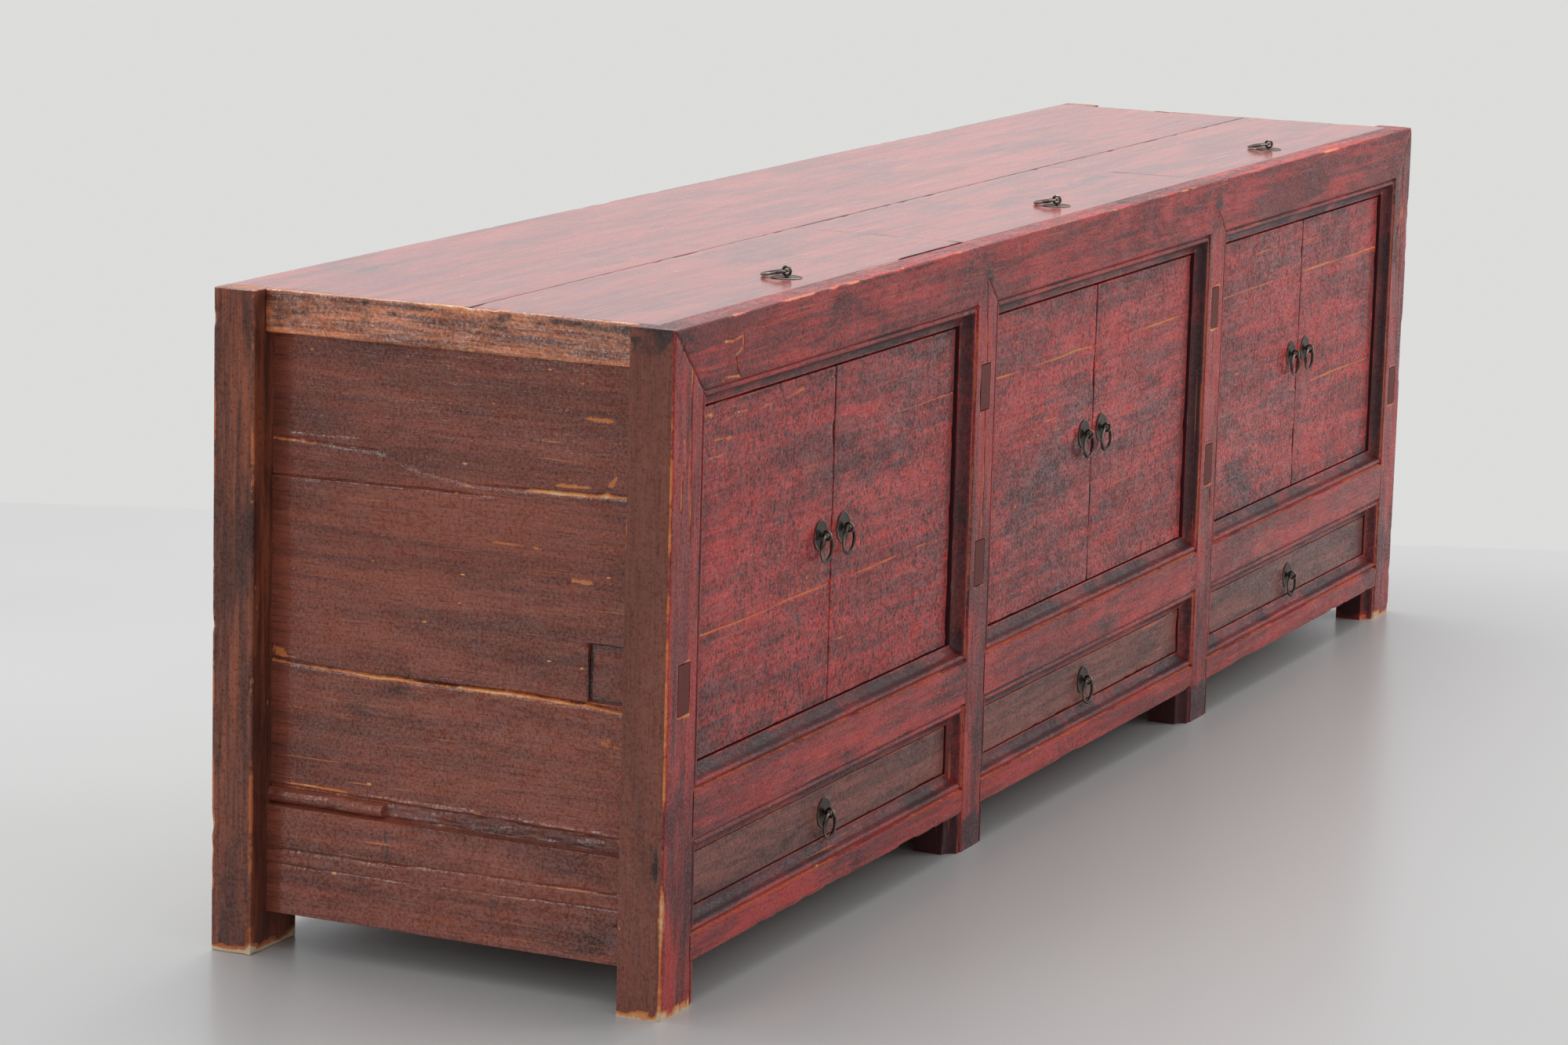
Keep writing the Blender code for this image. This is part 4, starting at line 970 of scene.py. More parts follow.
def scarred(part, side):
    """An end post with a dented and dirty top, and with a split and worn stretches on its outer front arris.

    The dents go inwards by up to 1.5 mm, and the split by 3 mm where a narrow bell curve is highest.
    """
    points, faces, wear, numbers = part
    across, deep, high = side * points[:, 0], points[:, 1] - FRONT, points[:, 2]
    outside = ease(across, HALF - 0.004, HALF - 0.002)
    top = ease(high + 0.006 * rough(points, 0.02, 305 + side), 0.642, 0.672) * outside
    lumps = rough(points, 0.013, 300 + side)
    dent = 0.0015 * top * ease(lumps, -0.2, 0.5)
    wear = wear - 0.95 * top * ease(lumps, -0.5, 0.2) + 1.1 * top * ease(lumps, 0.30, 0.6)
    split = bell(deep - 0.011 - 0.08 * (high - 0.16), 0.0035) * bell(high - 0.158, 0.020, 4) * outside
    dent = dent + 0.0032 * split
    wear = wear - 1.4 * split
    scar = bell(high - 0.105, 0.026, 4) + 0.8 * bell(high - 0.018, 0.030, 4)
    arris = near(np.maximum(deep, 0), 0.0045) * near(np.maximum(HALF - across, 0), 0.004)
    wear = wear + 1.1 * scar * arris * (0.75 + 0.5 * rough(points, 0.02, 310 + side))
    foot = ease(0.006 + 0.006 * rough(points, 0.012, 320 + side) - high, -0.002, 0.002)
    rubbed = bell(across - 1.124, 0.0075) * bell(high - 0.566, 0.018, 4) * ease(-deep, -0.003, -0.001)
    wear = wear + 1.15 * foot + 0.5 * rubbed * (1 + 0.5 * rough(points, 0.006, 325))
    points = points.copy()
    points[:, 0] -= side * dent
    return points, faces, wear, numbers


# Splits down the flats of the posts: (height, distance from the middle of the tenon ends)
POST_SPLITS = (
    (
        ((0.640, -0.003), (0.610, -0.001), (0.580, 0.001), (0.548, 0.003)),
        ((0.496, 0.002), (0.470, 0.003), (0.420, 0.0045), (0.380, 0.004), (0.351, 0.006)),
        ((0.548, -0.010), (0.520, -0.0135), (0.500, -0.0125)),
    ),
    (
        ((0.640, 0.001), (0.632, 0.000)),
        ((0.500, -0.006), (0.480, -0.003), (0.470, -0.004)),
        ((0.300, 0.010), (0.262, 0.011)),
    ),
)
END_SPLITS = (
    ((0.648, 0.004), (0.600, 0.003), (0.550, 0.004), (0.505, 0.0065), (0.470, 0.006)),
    ((0.552, -0.003), (0.535, -0.014), (0.505, -0.0145)),
)


def placed(splits, middle):
    """Splits at their places across the cabinet."""
    return [[(high, middle + across) for high, across in split] for split in splits]


def dress_middle_post(post):
    """A middle post, moulded on both sides, which shows the ends of two tenons."""
    middle = bay_middle(post) + PITCH / 2
    marks = [(middle, TENON_HALF, low, high) for low, high in TENONS]
    face = (middle - MIDDLE_FLAT / 2, middle + MIDDLE_FLAT / 2)

    def bounds(places):
        """The post reaches equally far on both sides."""
        reach = post_reach(places)
        return face[0] - reach, face[1] + reach

    places = post_places(V_TIP - TIP_GAP, marks)
    splits = placed(POST_SPLITS[post], middle)
    part = bar_part(True, places, face, bounds, (True, True), (0, 0), marks, splits, seed=20 + post)
    node = f"front_post_{post + 2}"
    make_piece(f"{node}_worn", node, [soiled(part)], ["post"])


def dress_end_post(side, node):
    """An end post, moulded on its inner side and plain on its outer one, which shows one tenon's end."""
    face = tuple(sorted((side * HALF, side * (HALF - END_FLAT))))
    marks = [(side * END_TENON_MIDDLE, TENON_HALF, *TENONS[0])]

    def bounds(places):
        """The outer side is straight, and the inner one is the moulding's."""
        inner = side * (HALF - END_FLAT - post_reach(places))
        outer = np.full(len(places), side * HALF)
        return (outer, inner) if side < 0 else (inner, outer)

    coats = (0, 1) if side < 0 else (1, 0)
    places = post_places(HEIGHT - TOP_GAP, marks)
    splits = placed(END_SPLITS, side * END_TENON_MIDDLE)
    sides, seed = (side > 0, side < 0), 30 + side
    part = bar_part(True, places, face, bounds, sides, coats, marks, splits, seed=seed, outer_wear=0.64)
    make_piece(f"{node}_worn", node, [scarred(part, side)], ["post", "end post"])


def dress_posts():
    """The two middle posts, then the two end posts."""
    for post in range(2):
        dress_middle_post(post)
    dress_end_post(-1, "front_post_1")
    dress_end_post(1, "front_post_4")


def bay_reach(places, bay):
    """How far a rail's moulding reaches at each place along it: mitred at both of the bay's posts."""
    return np.clip(BAY / 2 - np.abs(places - bay_middle(bay)), 0, MOULDING)


def dress_rail(node, bay, face, bounds, moulded, ledge_high, seed):
    """A rail of one bay, and the ledge behind it that carries the floor or the deck."""
    left, right = bay_middle(bay) - BAY / 2, bay_middle(bay) + BAY / 2
    low, high = left + SEAT_GAP, right - SEAT_GAP
    ends = ((low, low + MITRE_RUN, MITRE_GRID), (high - MITRE_RUN, high, MITRE_GRID))
    places = dense(low, high, 0.007, ends)
    bar = bar_part(False, places, face, bounds, moulded, seed=seed + bay, outer_wear=0.8)
    low_corner = (left + MOULDING, FRONT + POST_DEPTH - LEDGE_ROOT, ledge_high - LEDGE_THICK)
    high_corner = (right - MOULDING, FRONT + POST_DEPTH + LEDGE_REACH, ledge_high)
    ledge = box_part(low_corner, high_corner, 0.001, (0.1, 0.02, 0.02), plain)
    make_piece(f"{node}_worn", node, [bar, ledge], ["rail"])


def dress_rails():
    """In each bay a sill rail, moulded above and below, and a bottom rail, moulded above."""
    for bay, word in enumerate(BAYS):

        def sill_bounds(places):
            """The sill rail reaches up and down by its mouldings."""
            reach = bay_reach(places, bay)
            return SILL_LOW - reach, SILL_HIGH + reach

        def bottom_bounds(places):
            """The bottom rail is straight below, and reaches up by its moulding."""
            return np.full(len(places), LEG_CLEAR), BOTTOM_HIGH + bay_reach(places, bay)

        sill, bottom = (SILL_LOW, SILL_HIGH), (LEG_CLEAR, BOTTOM_HIGH)
        dress_rail(f"sill_rail_{word}", bay, sill, sill_bounds, (True, True), FLOOR_LEDGE, 40)
        dress_rail(f"bottom_rail_{word}", bay, bottom, bottom_bounds, (False, True), DECK_LEDGE, 50)


def top_rail_bounds(places):
    """The top rail's edges: below a moulding in each bay, a notch at each middle post and mitred ends."""
    across = np.abs(places)
    low = np.full(len(places), TOP_LOW - MOULDING)
    for post in range(2):
        middle = bay_middle(post) + PITCH / 2
        low = np.maximum(low, V_TIP - np.abs(places - middle))
    low = np.maximum(low, TOP_LOW - (HALF - END_FLAT - across))
    return np.minimum(low, HEIGHT - TOP_GAP), np.full(len(places), HEIGHT)


# The cracks near the left end of the top rail: (x, z) places along each
RAIL_SPLITS = (
    (
        (-1.039, 0.6560), (-1.022, 0.6545), (-0.998, 0.6575), (-0.999, 0.6450),
        (-1.015, 0.6395), (-1.0135, 0.6300), (-1.006, 0.6185),
    ),
    ((-1.042, 0.6180), (-1.036, 0.6205), (-1.006, 0.6185)),
)


def soiled_rail(part):
    """The top rail with dirt round each post's point, along its top arris and on its near top corner."""
    points, faces, wear, numbers = part
    from_post = np.abs(np.abs(points[:, 0]) - PITCH / 2)
    round_point = bell(np.hypot(from_post, points[:, 2] - V_TIP - 0.004), 0.017)
    stain = round_point * (0.7 + 0.7 * rough(points, 0.02, 295))
    from_arris = np.hypot(HEIGHT - points[:, 2], points[:, 1] - FRONT)
    grimy = ease(rough(points, (0.15, 0.03, 0.03), 296), -0.3, 0.4)
    by_arris = ease(from_arris, 0.001, 0.003) * near(np.maximum(from_arris - 0.003, 0), 0.004)
    corner = ease(-points[:, 0], HALF - 0.11, HALF - 0.03) * ease(points[:, 2], HEIGHT - 0.001, HEIGHT)
    stain = stain + 0.75 * by_arris * grimy + 0.55 * corner * ease(points[:, 1] - FRONT, 0.004, 0.010)
    return points, faces, wear - stain, numbers


def dress_top_rail():
    """The front top rail: mitred to the end posts, notched over the middle ones, stepped behind."""
    boards_end = BOARDS_END + SEAT_GAP
    zones = [(middle - 0.049, middle + 0.049, 0.0015) for middle in (-PITCH / 2, PITCH / 2)]
    zones += [(-HALF, -HALF + 0.090, 0.002), (HALF - 0.090, HALF, 0.002)]
    zones += [(side * boards_end - 0.0003, side * boards_end + 0.0003, 0.0003) for side, _ in SIDES]
    zones.append((-1.045, -0.995, 0.0011))
    places = dense(-HALF + 0.001, HALF - 0.001, 0.007, zones)
    rail = bar_part(
        False, places, (TOP_LOW, HEIGHT), top_rail_bounds, (True, False), splits=RAIL_SPLITS,
        shelf=(BOARDS_LOW - SEAT_GAP, boards_end), seed=60, outer_wear=0.5,
    )
    make_piece("front_top_rail_worn", "front_top_rail", [soiled_rail(rail)], ["top rail"])


# How far the left lid's front seam stands open near the lid's right end, and at which distances from that end
# it starts to open and is fully open
OPEN_SEAM = 0.0055
OPEN_FROM, OPEN_TO = 0.178, 0.166


def dress_top_boards():
    """Three lids and the board behind them, with dark seams between, one of them a little open, and painted
    shade on their sides and undersides.
    """
    for number, node in enumerate(LIDS + ["back_top_board"]):
        low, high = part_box(node)
        relief = aged("x", 70 + 5 * number, wave=0.0006, chip=0.0012, rub=0.35)
        points, faces, wear, numbers = box_part(low, high, 0.0011, (0.010, 0.008, 0.006), relief)
        from_end = np.minimum(points[:, 0] - low.x, high.x - points[:, 0])
        from_side = np.minimum(points[:, 1] - low.y, high.y - points[:, 1])
        seam = 1.1 * near(np.minimum(from_end, from_side), 0.0014)
        # Painted shade on the boards' sides and undersides, in the gaps between them; the seam is a dark joint
        # line
        wear = wear - 1.2 * ease(high.z - points[:, 2], 0.0012, 0.003) - seam
        if node == "lid_left":
            stretch = ease(points[:, 0], high.x - OPEN_FROM, high.x - OPEN_TO)
            points[:, 1] += OPEN_SEAM * stretch * near(points[:, 1] - low.y, 0.0065)
        make_piece(f"{node}_worn", node, [(points, faces, wear, numbers)], ["top"])


def dress_back_post(side, word):
    """A back post, notched at its top for the boards, with a pale ragged foot."""
    seed = 90 + side
    outer, inner = side * HALF, side * (HALF - BACK_POST_WIDTH)
    face = BACK - BACK_POST_DEPTH

    def notch(spots, places):
        """Over the boards' underside, the post stops where the boards end."""
        held = side * np.maximum(spots[..., 0] * side, BOARDS_END + SEAT_GAP)
        spots[..., 0] = np.where(places[:, None] > BOARDS_LOW - SEAT_GAP, held, spots[..., 0])
        return spots

    def footed(points, edge):
        """An old board's relief, worn to pale wood up to a ragged line at the foot."""
        height, wear = aged("z", seed, wave=0.0006, chip=0.003, rub=0.45)(points, edge)
        foot = ease(0.007 + 0.007 * rough(points, 0.012, seed + 50) - points[:, 2], -0.002, 0.002)
        return height, wear + 1.15 * foot

    shape = outline([(outer, face), (outer, BACK), (inner, BACK), (inner, face)], [0.0025] * 4, 0.007)
    zones = ((0, 0.003, 0.0006), (HEIGHT - 0.003, HEIGHT, 0.0006), (BOARDS_LOW - 0.0009, BOARDS_LOW, 0.0003))
    post = carried_part(shape, 2, dense(0, HEIGHT, 0.007, zones), footed, notch)
    make_piece(f"back_post_{word}_worn", f"back_post_{word}", [post], ["back post"])


def dress_end_rail(side, word):
    """An end top rail: pitted, furrowed along its grain, dark along its top, with a step for the boards."""
    seed = 90 + side
    low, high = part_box(f"end_rail_{word}")
    face, inside = (side * max(abs(low.x), abs(high.x)), side * min(abs(low.x), abs(high.x)))
    lip = side * (BOARDS_END + SEAT_GAP)
    carried = BOARDS_LOW - SEAT_GAP

    def pitted(points, edge):
        """An old board's relief less pits and furrows, with dirt in the pits, in streaks and at the top."""
        height, wear = aged("y", seed + 3, wave=0.0008, chip=0.0015, rub=0.3)(points, edge)
        # Pale wear along the top arris, which also stands as a painted highlight along the top edge
        wear = wear + 0.5 * near(HEIGHT - points[:, 2], 0.0022) * (0.7 + 0.9 * rough(points, 0.05, seed + 44))
        pits = ease(rough(points, (0.012, 0.016, 0.009), seed + 40), 0.28, 0.6)
        furrows = ease(rough(points, (0.02, 0.20, 0.006), seed + 41), 0.1, 0.6)
        wear = wear - 0.5 * ease(rough(points, (0.02, 0.30, 0.014), seed + 46), 0.0, 0.5)
        blotch = 0.6 + 0.8 * rough(points, (0.02, 0.05, 0.01), seed + 47)
        upper = ease(points[:, 2], HEIGHT - 0.030, HEIGHT - 0.014) * ease(HEIGHT - points[:, 2], 0.001, 0.003)
        wear = wear - 0.38 * upper * blotch
        return height - 0.0013 * pits - 0.0009 * furrows, wear - 0.45 * pits

    outer = [(face, low.z), (face, HEIGHT)]
    inner = [(lip, HEIGHT), (lip, carried), (inside, carried), (inside, low.z)]
    shape = outline(outer + inner, [0.003, 0.0015, 0, 0, 0, 0], 0.004)
    places = dense(low.y, high.y, 0.004, ((low.y, low.y + 0.003, 0.0006), (high.y - 0.003, high.y, 0.0006)))
    rail = carried_part(shape, 1, places, pitted)
    make_piece(f"end_rail_{word}_worn", f"end_rail_{word}", [rail], ["end rail"])


# Where the boards of the back meet, as shares of its height
BACK_JOINT_SHARES = np.array([0, 0.19, 0.405, 0.59, 0.81, 1.0])


def dress_back():
    """Five boards one above another, which meet in small V grooves."""
    low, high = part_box("back_panel")

    def weathered(points, edge):
        """Slow waves on the outside only, and dirt in the grooves."""
        outside = ease(points[:, 1], high.y - 0.004, high.y - 0.001)
        return 0.0004 * outside * rough(points, (0.3, 0.05, 0.04), 230), -1.2 * near(edge, 0.0016)

    parts = []
    joints = low.z + (high.z - low.z) * BACK_JOINT_SHARES
    for below, above in zip(joints[:-1], joints[1:]):
        corners = (low.x, low.y, below), (high.x, high.y, above)
        parts.append(box_part(*corners, 0.0012, (0.02, 0.02, 0.012), weathered))
    make_piece("back_panel_boards", "back_panel", parts, ["wood x"])


# Seams of the end panel: (y, z) places along each, how deep it is, how proud the board below stands, the
# stretch of y where it does, and how worn its lip is
PANEL_SEAMS = (
    (
        ((-0.22, 0.509), (-0.10, 0.505), (-0.02, 0.502), (0.05, 0.512), (0.09, 0.526), (0.22, 0.530)),
        0.0018, 0.0006, (-0.22, 0.22), 0.86,
    ),
    (
        ((-0.22, 0.489), (-0.05, 0.493), (0.00, 0.493), (0.22, 0.491)),
        0.0014, 0.0026, (-0.02, 0.22), 0.30,
    ),
    (
        ((-0.22, 0.292), (-0.15, 0.297), (-0.07, 0.299), (0.09, 0.298), (0.22, 0.302)),
        0.0026, 0.0028, (-0.16, 0.06), 0.80,
    ),
    (
        ((-0.22, 0.112), (0.00, 0.110), (0.06, 0.108), (0.22, 0.106)),
        0.0014, 0.0006, (-0.22, 0.22), 0.42,
    ),
    (
        ((-0.22, 0.096), (-0.10, 0.095), (0.00, 0.092), (0.22, 0.091)),
        0.0009, 0.0003, (-0.22, 0.22), 0.35,
    ),
)
# The one of them that is open only towards the back, and where it starts
SHORT_SEAM, SHORT_SEAM_START = 1, -0.06
# Worn streaks on it: (y, z) places along each
PANEL_STREAKS = (
    ((0.215, 0.309), (0.180, 0.306)), ((0.205, 0.313), (0.190, 0.311)),
    ((-0.060, 0.452), (-0.110, 0.444)), ((-0.130, 0.420), (-0.168, 0.414)),
    ((-0.165, 0.507), (-0.185, 0.540)), ((-0.060, 0.510), (-0.150, 0.512)),
    ((0.120, 0.395), (0.060, 0.392)), ((-0.120, 0.585), (-0.175, 0.578)),
    ((-0.090, 0.288), (-0.170, 0.286)),
)
LEDGE_HIGH, LEDGE_LOW, LEDGE_PROUD = 0.170, 0.152, 0.0068
BEAD_END = 0.075
# Upright marks where a board ends: y, and from which to which height
BUTTS = ((0.070, 0.104, 0.146), (-0.052, 0.060, 0.094), (-0.150, 0.300, 0.352))
# The sunk patch: its span of y, its span of z, and how deep it lies
PATCH = (-0.2, -0.150, 0.300, 0.358)
PATCH_SINK = 0.0048


class PanelFace:
    """How far an end panel stands out of its plain face at each (y, z), and how worn it is there, with dark
    marks and painted shade as wear below nought.
    """

    def __init__(self, y, z, seed):
        """Slow waves along the boards, still without wear."""
        self.y, self.z, self.seed = y, z, seed
        self.spot = np.stack([np.zeros(y.shape), y, z], -1)
        self.height = 0.0005 * rough(self.spot, (1, 0.25, 0.06), seed)
        self.wear = np.zeros(y.shape)
        self.torn = rough(self.spot, (1, 0.05, 0.05), seed + 4)

    def open_seams(self):
        """A wavering groove along each seam, with a worn lip under it, and the board below proud in places.

        Groove and lip are bell curves across the seam, and the proud step fades as exp(-distance / 45 mm).
        """
        y = self.y
        for number, (line, deep, proud, (start, stop), worn) in enumerate(PANEL_SEAMS):
            waver = 0.0008 * noise(np.stack([y, y, y], -1), 0.03, self.seed + number)
            away = self.z - np.interp(y, *np.array(line).T) - waver
            strength = 0.75 + 0.7 * rough(np.stack([y, y * 0, y * 0], -1), 0.12, self.seed + 20 + number)
            strength = np.clip(strength, 0.1, 1.4)
            if number == SHORT_SEAM:
                strength = strength * ease(y, SHORT_SEAM_START, SHORT_SEAM_START + 0.07)
            stands = ease(y, start - 0.03, start + 0.03) * ease(-y, -stop - 0.03, -stop + 0.03)
            lip = bell(away + 0.0022, 0.0018)
            self.height += proud * stands * ease(-away, 0, 0.0009) * np.exp(np.minimum(away, 0) / 0.045)
            self.height -= deep * strength * (bell(away, 0.0012) + 0.35 * lip)
            self.wear += worn * strength * (0.95 * lip + 0.5 * near(away, 0.001)) * (0.8 + 0.9 * self.torn)

    def wear_streaks(self):
        """Ragged worn streaks."""
        for streak in PANEL_STREAKS:
            away = off_line(np.stack([self.y, self.z], -1), streak)
            away = away + 0.003 * noise(self.spot, (1, 0.02, 0.004), self.seed + 30)
            self.wear += ease(-away, -0.0035, 0.0005) * (0.6 + 0.5 * self.torn)

    def tear_ledge(self):
        """The lowest board, proud, under a ragged hollow strip that keeps a rest of bead at its back end. The
        strip is in painted shade, lighter on the bead's upper half.
        """
        y, z, spot, torn = self.y, self.z, self.spot, self.torn
        top_line = LEDGE_HIGH + 0.0022 * torn + 0.018 * (y - 0.02)
        low_line = LEDGE_LOW + 0.006 * y
        below = ease(top_line - z, -0.0006, 0.0012)
        on_board = ease(low_line - z, -0.0008, 0.0024)
        bead = ease(y, BEAD_END - 0.002, BEAD_END + 0.002)
        broken = np.clip(0.7 + 0.9 * rough(spot, (1, 0.018, 0.02), self.seed + 8), 0, 1)
        share = np.clip((z - low_line) / np.maximum(top_line - low_line, 1e-4), 0, 1)
        hollow = -0.0022 - 0.0020 * rough(spot, (1, 0.022, 0.006), self.seed + 9)
        rounded = np.sqrt(np.clip(1 - ((share - 0.42) / 0.40) ** 2, 0, 1))
        bead_form = -0.002 + 0.0085 * rounded * np.clip(0.5 + broken, 0, 1)
        strip = hollow * (1 - bead) + bead_form * bead
        on_strip = below * (1 - on_board)
        proud = (LEDGE_PROUD + self.height) * below * on_board
        lip = near(z - top_line - 0.0016, 0.0018)
        self.height = self.height * (1 - below) + strip * on_strip + proud + 0.0010 * lip * (0.4 + broken)
        self.wear += lip * (0.25 + 0.5 * torn) + near(z - low_line + 0.001, 0.0012) * (0.3 + 0.5 * torn)
        # Painted shade in the hollow strip, less of it on the upper half of the bead
        self.wear -= 0.35 * on_strip * (1 - 0.6 * bead * ease(share, 0.3, 0.7)) * (1 + 0.8 * torn)

    def butt_boards(self):
        """Dark upright marks where a board ends."""
        for butt, low_end, high_end in BUTTS:
            beside = self.y - butt - 0.0015 * noise(self.spot, (1, 1, 0.012), self.seed + 31)
            inside = ease(self.z, low_end, low_end + 0.006) * ease(-self.z, -high_end, 0.006 - high_end)
            mark = near(beside, 0.0013) * inside
            self.height -= 0.0012 * mark
            self.wear -= 1.1 * mark

    def sink_patch(self):
        """A patch beside the front post, sunk, with painted shade along its edge inside and a worn edge outside.
        """
        low_y, high_y, low_z, high_z = PATCH
        beside = np.maximum(low_y - self.y, self.y - high_y)
        edge = np.maximum(beside, np.maximum(low_z - self.z, self.z - high_z))
        self.height -= PATCH_SINK * (1 - ease(edge, -0.0010, 0.0006))
        # Painted shade along the inside of the sunk patch's edge
        self.wear -= 1.1 * near(edge + 0.0015, 0.0016) * ease(-edge, -0.0004, 0.001)
        self.wear += near(edge - 0.001, 0.0016) * (0.55 + 0.5 * self.torn)

    def crack(self):
        """Fine cracks along the grain, worn where the lacquer is torn."""
        cracks = ease(rough(self.spot, (1, 0.16, 0.007), self.seed + 15), 0.42, 0.62)
        self.height -= 0.0005 * cracks
        self.wear += 0.5 * cracks * ease(self.torn, -0.1, 0.4)


def panel_face(y, z, seed):
    """An end panel's face with all that has happened to it."""
    face = PanelFace(y, z, seed)
    face.open_seams()
    face.wear_streaks()
    face.tear_ledge()
    face.butt_boards()
    face.sink_patch()
    face.crack()
    return face


def dress_end_panel(side, word):
    """An end panel's boards, with the cross rail behind them and its tenon through the front post."""
    node = f"end_panel_{word}"
    _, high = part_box(node)
    low_y = FRONT + POST_DEPTH + SEAT_GAP - 0.008
    rows = [(middle - 0.007, middle + 0.007, 0.0009) for middle in (0.530, 0.493, 0.299, 0.109, 0.094)]
    rows += [(0.146, 0.178, 0.0010), (0.498, 0.512, 0.001), (0.355, 0.361, 0.0008)]
    rows += [(0.290, 0.3035, 0.00045), (0.488, 0.495, 0.00045), (0.1485, 0.1555, 0.00045)]
    heights = dense(0.040, high.z, 0.007, rows)
    columns = ((BEAD_END - 0.004, BEAD_END + 0.004, 0.001), (-0.153, -0.147, 0.0008))
    lines = dense(low_y, high.y, 0.0035, columns)
    z, y = np.meshgrid(heights, lines, indexing="ij")
    face = panel_face(y, z, 110 + side)
    front = np.stack([side * (PANEL_FACE + face.height), y, z], -1)
    back_lines = np.linspace(high.y, low_y, 8)
    back_z, back_y = np.meshgrid(heights, back_lines, indexing="ij")
    back = np.stack([np.full(back_y.shape, side * PANEL_INNER), back_y, back_z], -1)
    coats = np.repeat([0, 1], [len(lines), len(back_lines)])
    wear = np.concatenate([face.wear, np.zeros(back_y.shape)], 1)
    boards = ring_part(np.concatenate([front, back], 1), wear, coats)

    tenon_low, tenon_high = TENONS[0]
    start, stop = sorted((side * (END_TENON_MIDDLE - TENON_HALF), side * (END_TENON_MIDDLE + TENON_HALF)))
    corners = (start, FRONT, tenon_low), (stop, FRONT + POST_DEPTH - 0.004, tenon_high)
    tenon = box_part(*corners, 0.0008, (0.01, 0.02, 0.02), plain, coat=1)
    start, stop = sorted((side * (PANEL_INNER - TENON_HALF), side * (PANEL_INNER + 0.006)))
    back_end = BACK - BACK_POST_DEPTH - SEAT_GAP
    corners = (start, FRONT + POST_DEPTH + SEAT_GAP, tenon_low), (stop, back_end, tenon_high)
    rail = box_part(*corners, 0.001, (0.02, 0.1, 0.02), plain, coat=1)
    make_piece(f"{node}_worn", node, [boards, tenon, rail], ["end", "wood y"])


# Seams across each pair of doors: height, depth, and which leaves show it
DOOR_SEAMS = {
    "left": ((0.3645, 0.0014, "ab"), (0.5215, 0.0007, "b"), (0.582, 0.0013, "a")),
    "middle": ((0.5210, 0.0008, "ab"),),
    "right": ((0.5240, 0.0008, "ab"), (0.3720, 0.0008, "ab")),
}
# Worn streaks on the leaves: (x, z) places along each
DOOR_STREAKS = {
    "door_left_a": (
        ((-1.016, 0.571), (-0.974, 0.577), (-0.927, 0.5735), (-0.895, 0.5745)),
        ((-0.862, 0.575), (-0.811, 0.580)), ((-1.037, 0.587), (-1.038, 0.573)),
        ((-1.036, 0.5555), (-0.993, 0.5545)), ((-1.038, 0.539), (-1.006, 0.5395)),
    ),
    "door_left_b": (((-0.725, 0.5885), (-0.600, 0.5870)), ((-0.735, 0.300), (-0.690, 0.302))),
    "door_middle_a": (((-0.375, 0.560), (-0.350, 0.559)), ((-0.160, 0.452), (-0.120, 0.450))),
    "door_right_a": (((0.560, 0.566), (0.640, 0.569)), ((0.500, 0.420), (0.530, 0.419))),
}


def leaf_places(seams, streaks):
    """Heights of a leaf's rings: close together at its ends, its seams and its streaks."""
    zones = [(height - 0.005, height + 0.005, 0.0007) for height, _ in seams]
    zones += [(DOOR_LOW, DOOR_LOW + 0.003, 0.0006), (DOOR_HIGH - 0.003, DOOR_HIGH, 0.0006)]
    levels = [[level for _, level in streak] for streak in streaks]
    zones += [(min(level) - 0.006, max(level) + 0.006, 0.0011) for level in levels]
    return dense(DOOR_LOW, DOOR_HIGH, 0.009, zones)


def leaf_relief(seams, streaks, bay, seed):
    """The relief of a leaf: an old board's, with seams across it, worn streaks, dirt and painted shade towards its
    edges, and painted shade on its sides.

    A seam is a bell curve across and wavers along, and its strength comes and goes.
    """
    board = aged("x", seed, wave=0.0005, chip=0.0010, rub=0.30, dirt_and_shade=0.85)

    def relief(points, edge):
        """The height and the wear at the points."""
        height, wear = board(points, edge)
        down = points[:, 1] - FRONT - RECESS
        # Painted shade on the leaf's sides, in the gaps round it, and a little on its back
        wear = wear - ease(down, 0.0010, 0.0025) * (1.3 - ease(down, DOOR_THICK - 0.002, DOOR_THICK - 0.0005))
        for number, (level, deep) in enumerate(seams):
            across = np.stack([points[:, 0], np.full(len(points), number), np.zeros(len(points))], -1)
            away = points[:, 2] - level - 0.0012 * noise(across, (0.06, 1, 1), 150 + bay)
            strength = np.clip(0.8 + 0.8 * rough(across, (0.10, 1, 1), seed + 30 + number), 0.15, 1.3)
            height = height - deep * strength * bell(away, 0.0010)
            wear = wear + (0.72 + 330 * deep) * strength * near(away, 0.0018)
        # Painted shade in a narrow margin along the leaf's edges, so that the gaps round it look wider and darker
        wear = wear - (0.62 + 0.7 * rough(points, 0.05, seed + 60)) * near(edge, 0.0022)
        torn = rough(points, (0.03, 1, 0.02), seed + 61)
        for streak in streaks:
            away = off_line(points[:, [0, 2]], streak)
            away = away + 0.0025 * noise(points, (0.012, 1, 0.004), seed + 62)
            wear = wear + ease(-away, -0.0030, 0.0004) * (0.8 + 0.6 * torn)
        return height, wear

    return relief


def pivot_pins(hinge, side, low, high):
    """The two round pins that a leaf turns on, cut in one piece with it."""
    front, back = FRONT + RECESS + PIVOT_SET, FRONT + RECESS + DOOR_THICK - PIVOT_SET
    pin_x = hinge - side * PIVOT_IN
    left, right = pin_x - PIVOT_HALF, pin_x + PIVOT_HALF
    pin = outline([(left, front), (right, front), (right, back), (left, back)], [PIVOT_ROUND] * 4, 0.002)
    lower = (low, low + PIVOT_TIP, DOOR_LOW + PIVOT_ROOT)
    upper = (DOOR_HIGH - PIVOT_ROOT, high - PIVOT_TIP, high)
    return [carried_part(pin, 2, span, plain) for span in (lower, upper)]


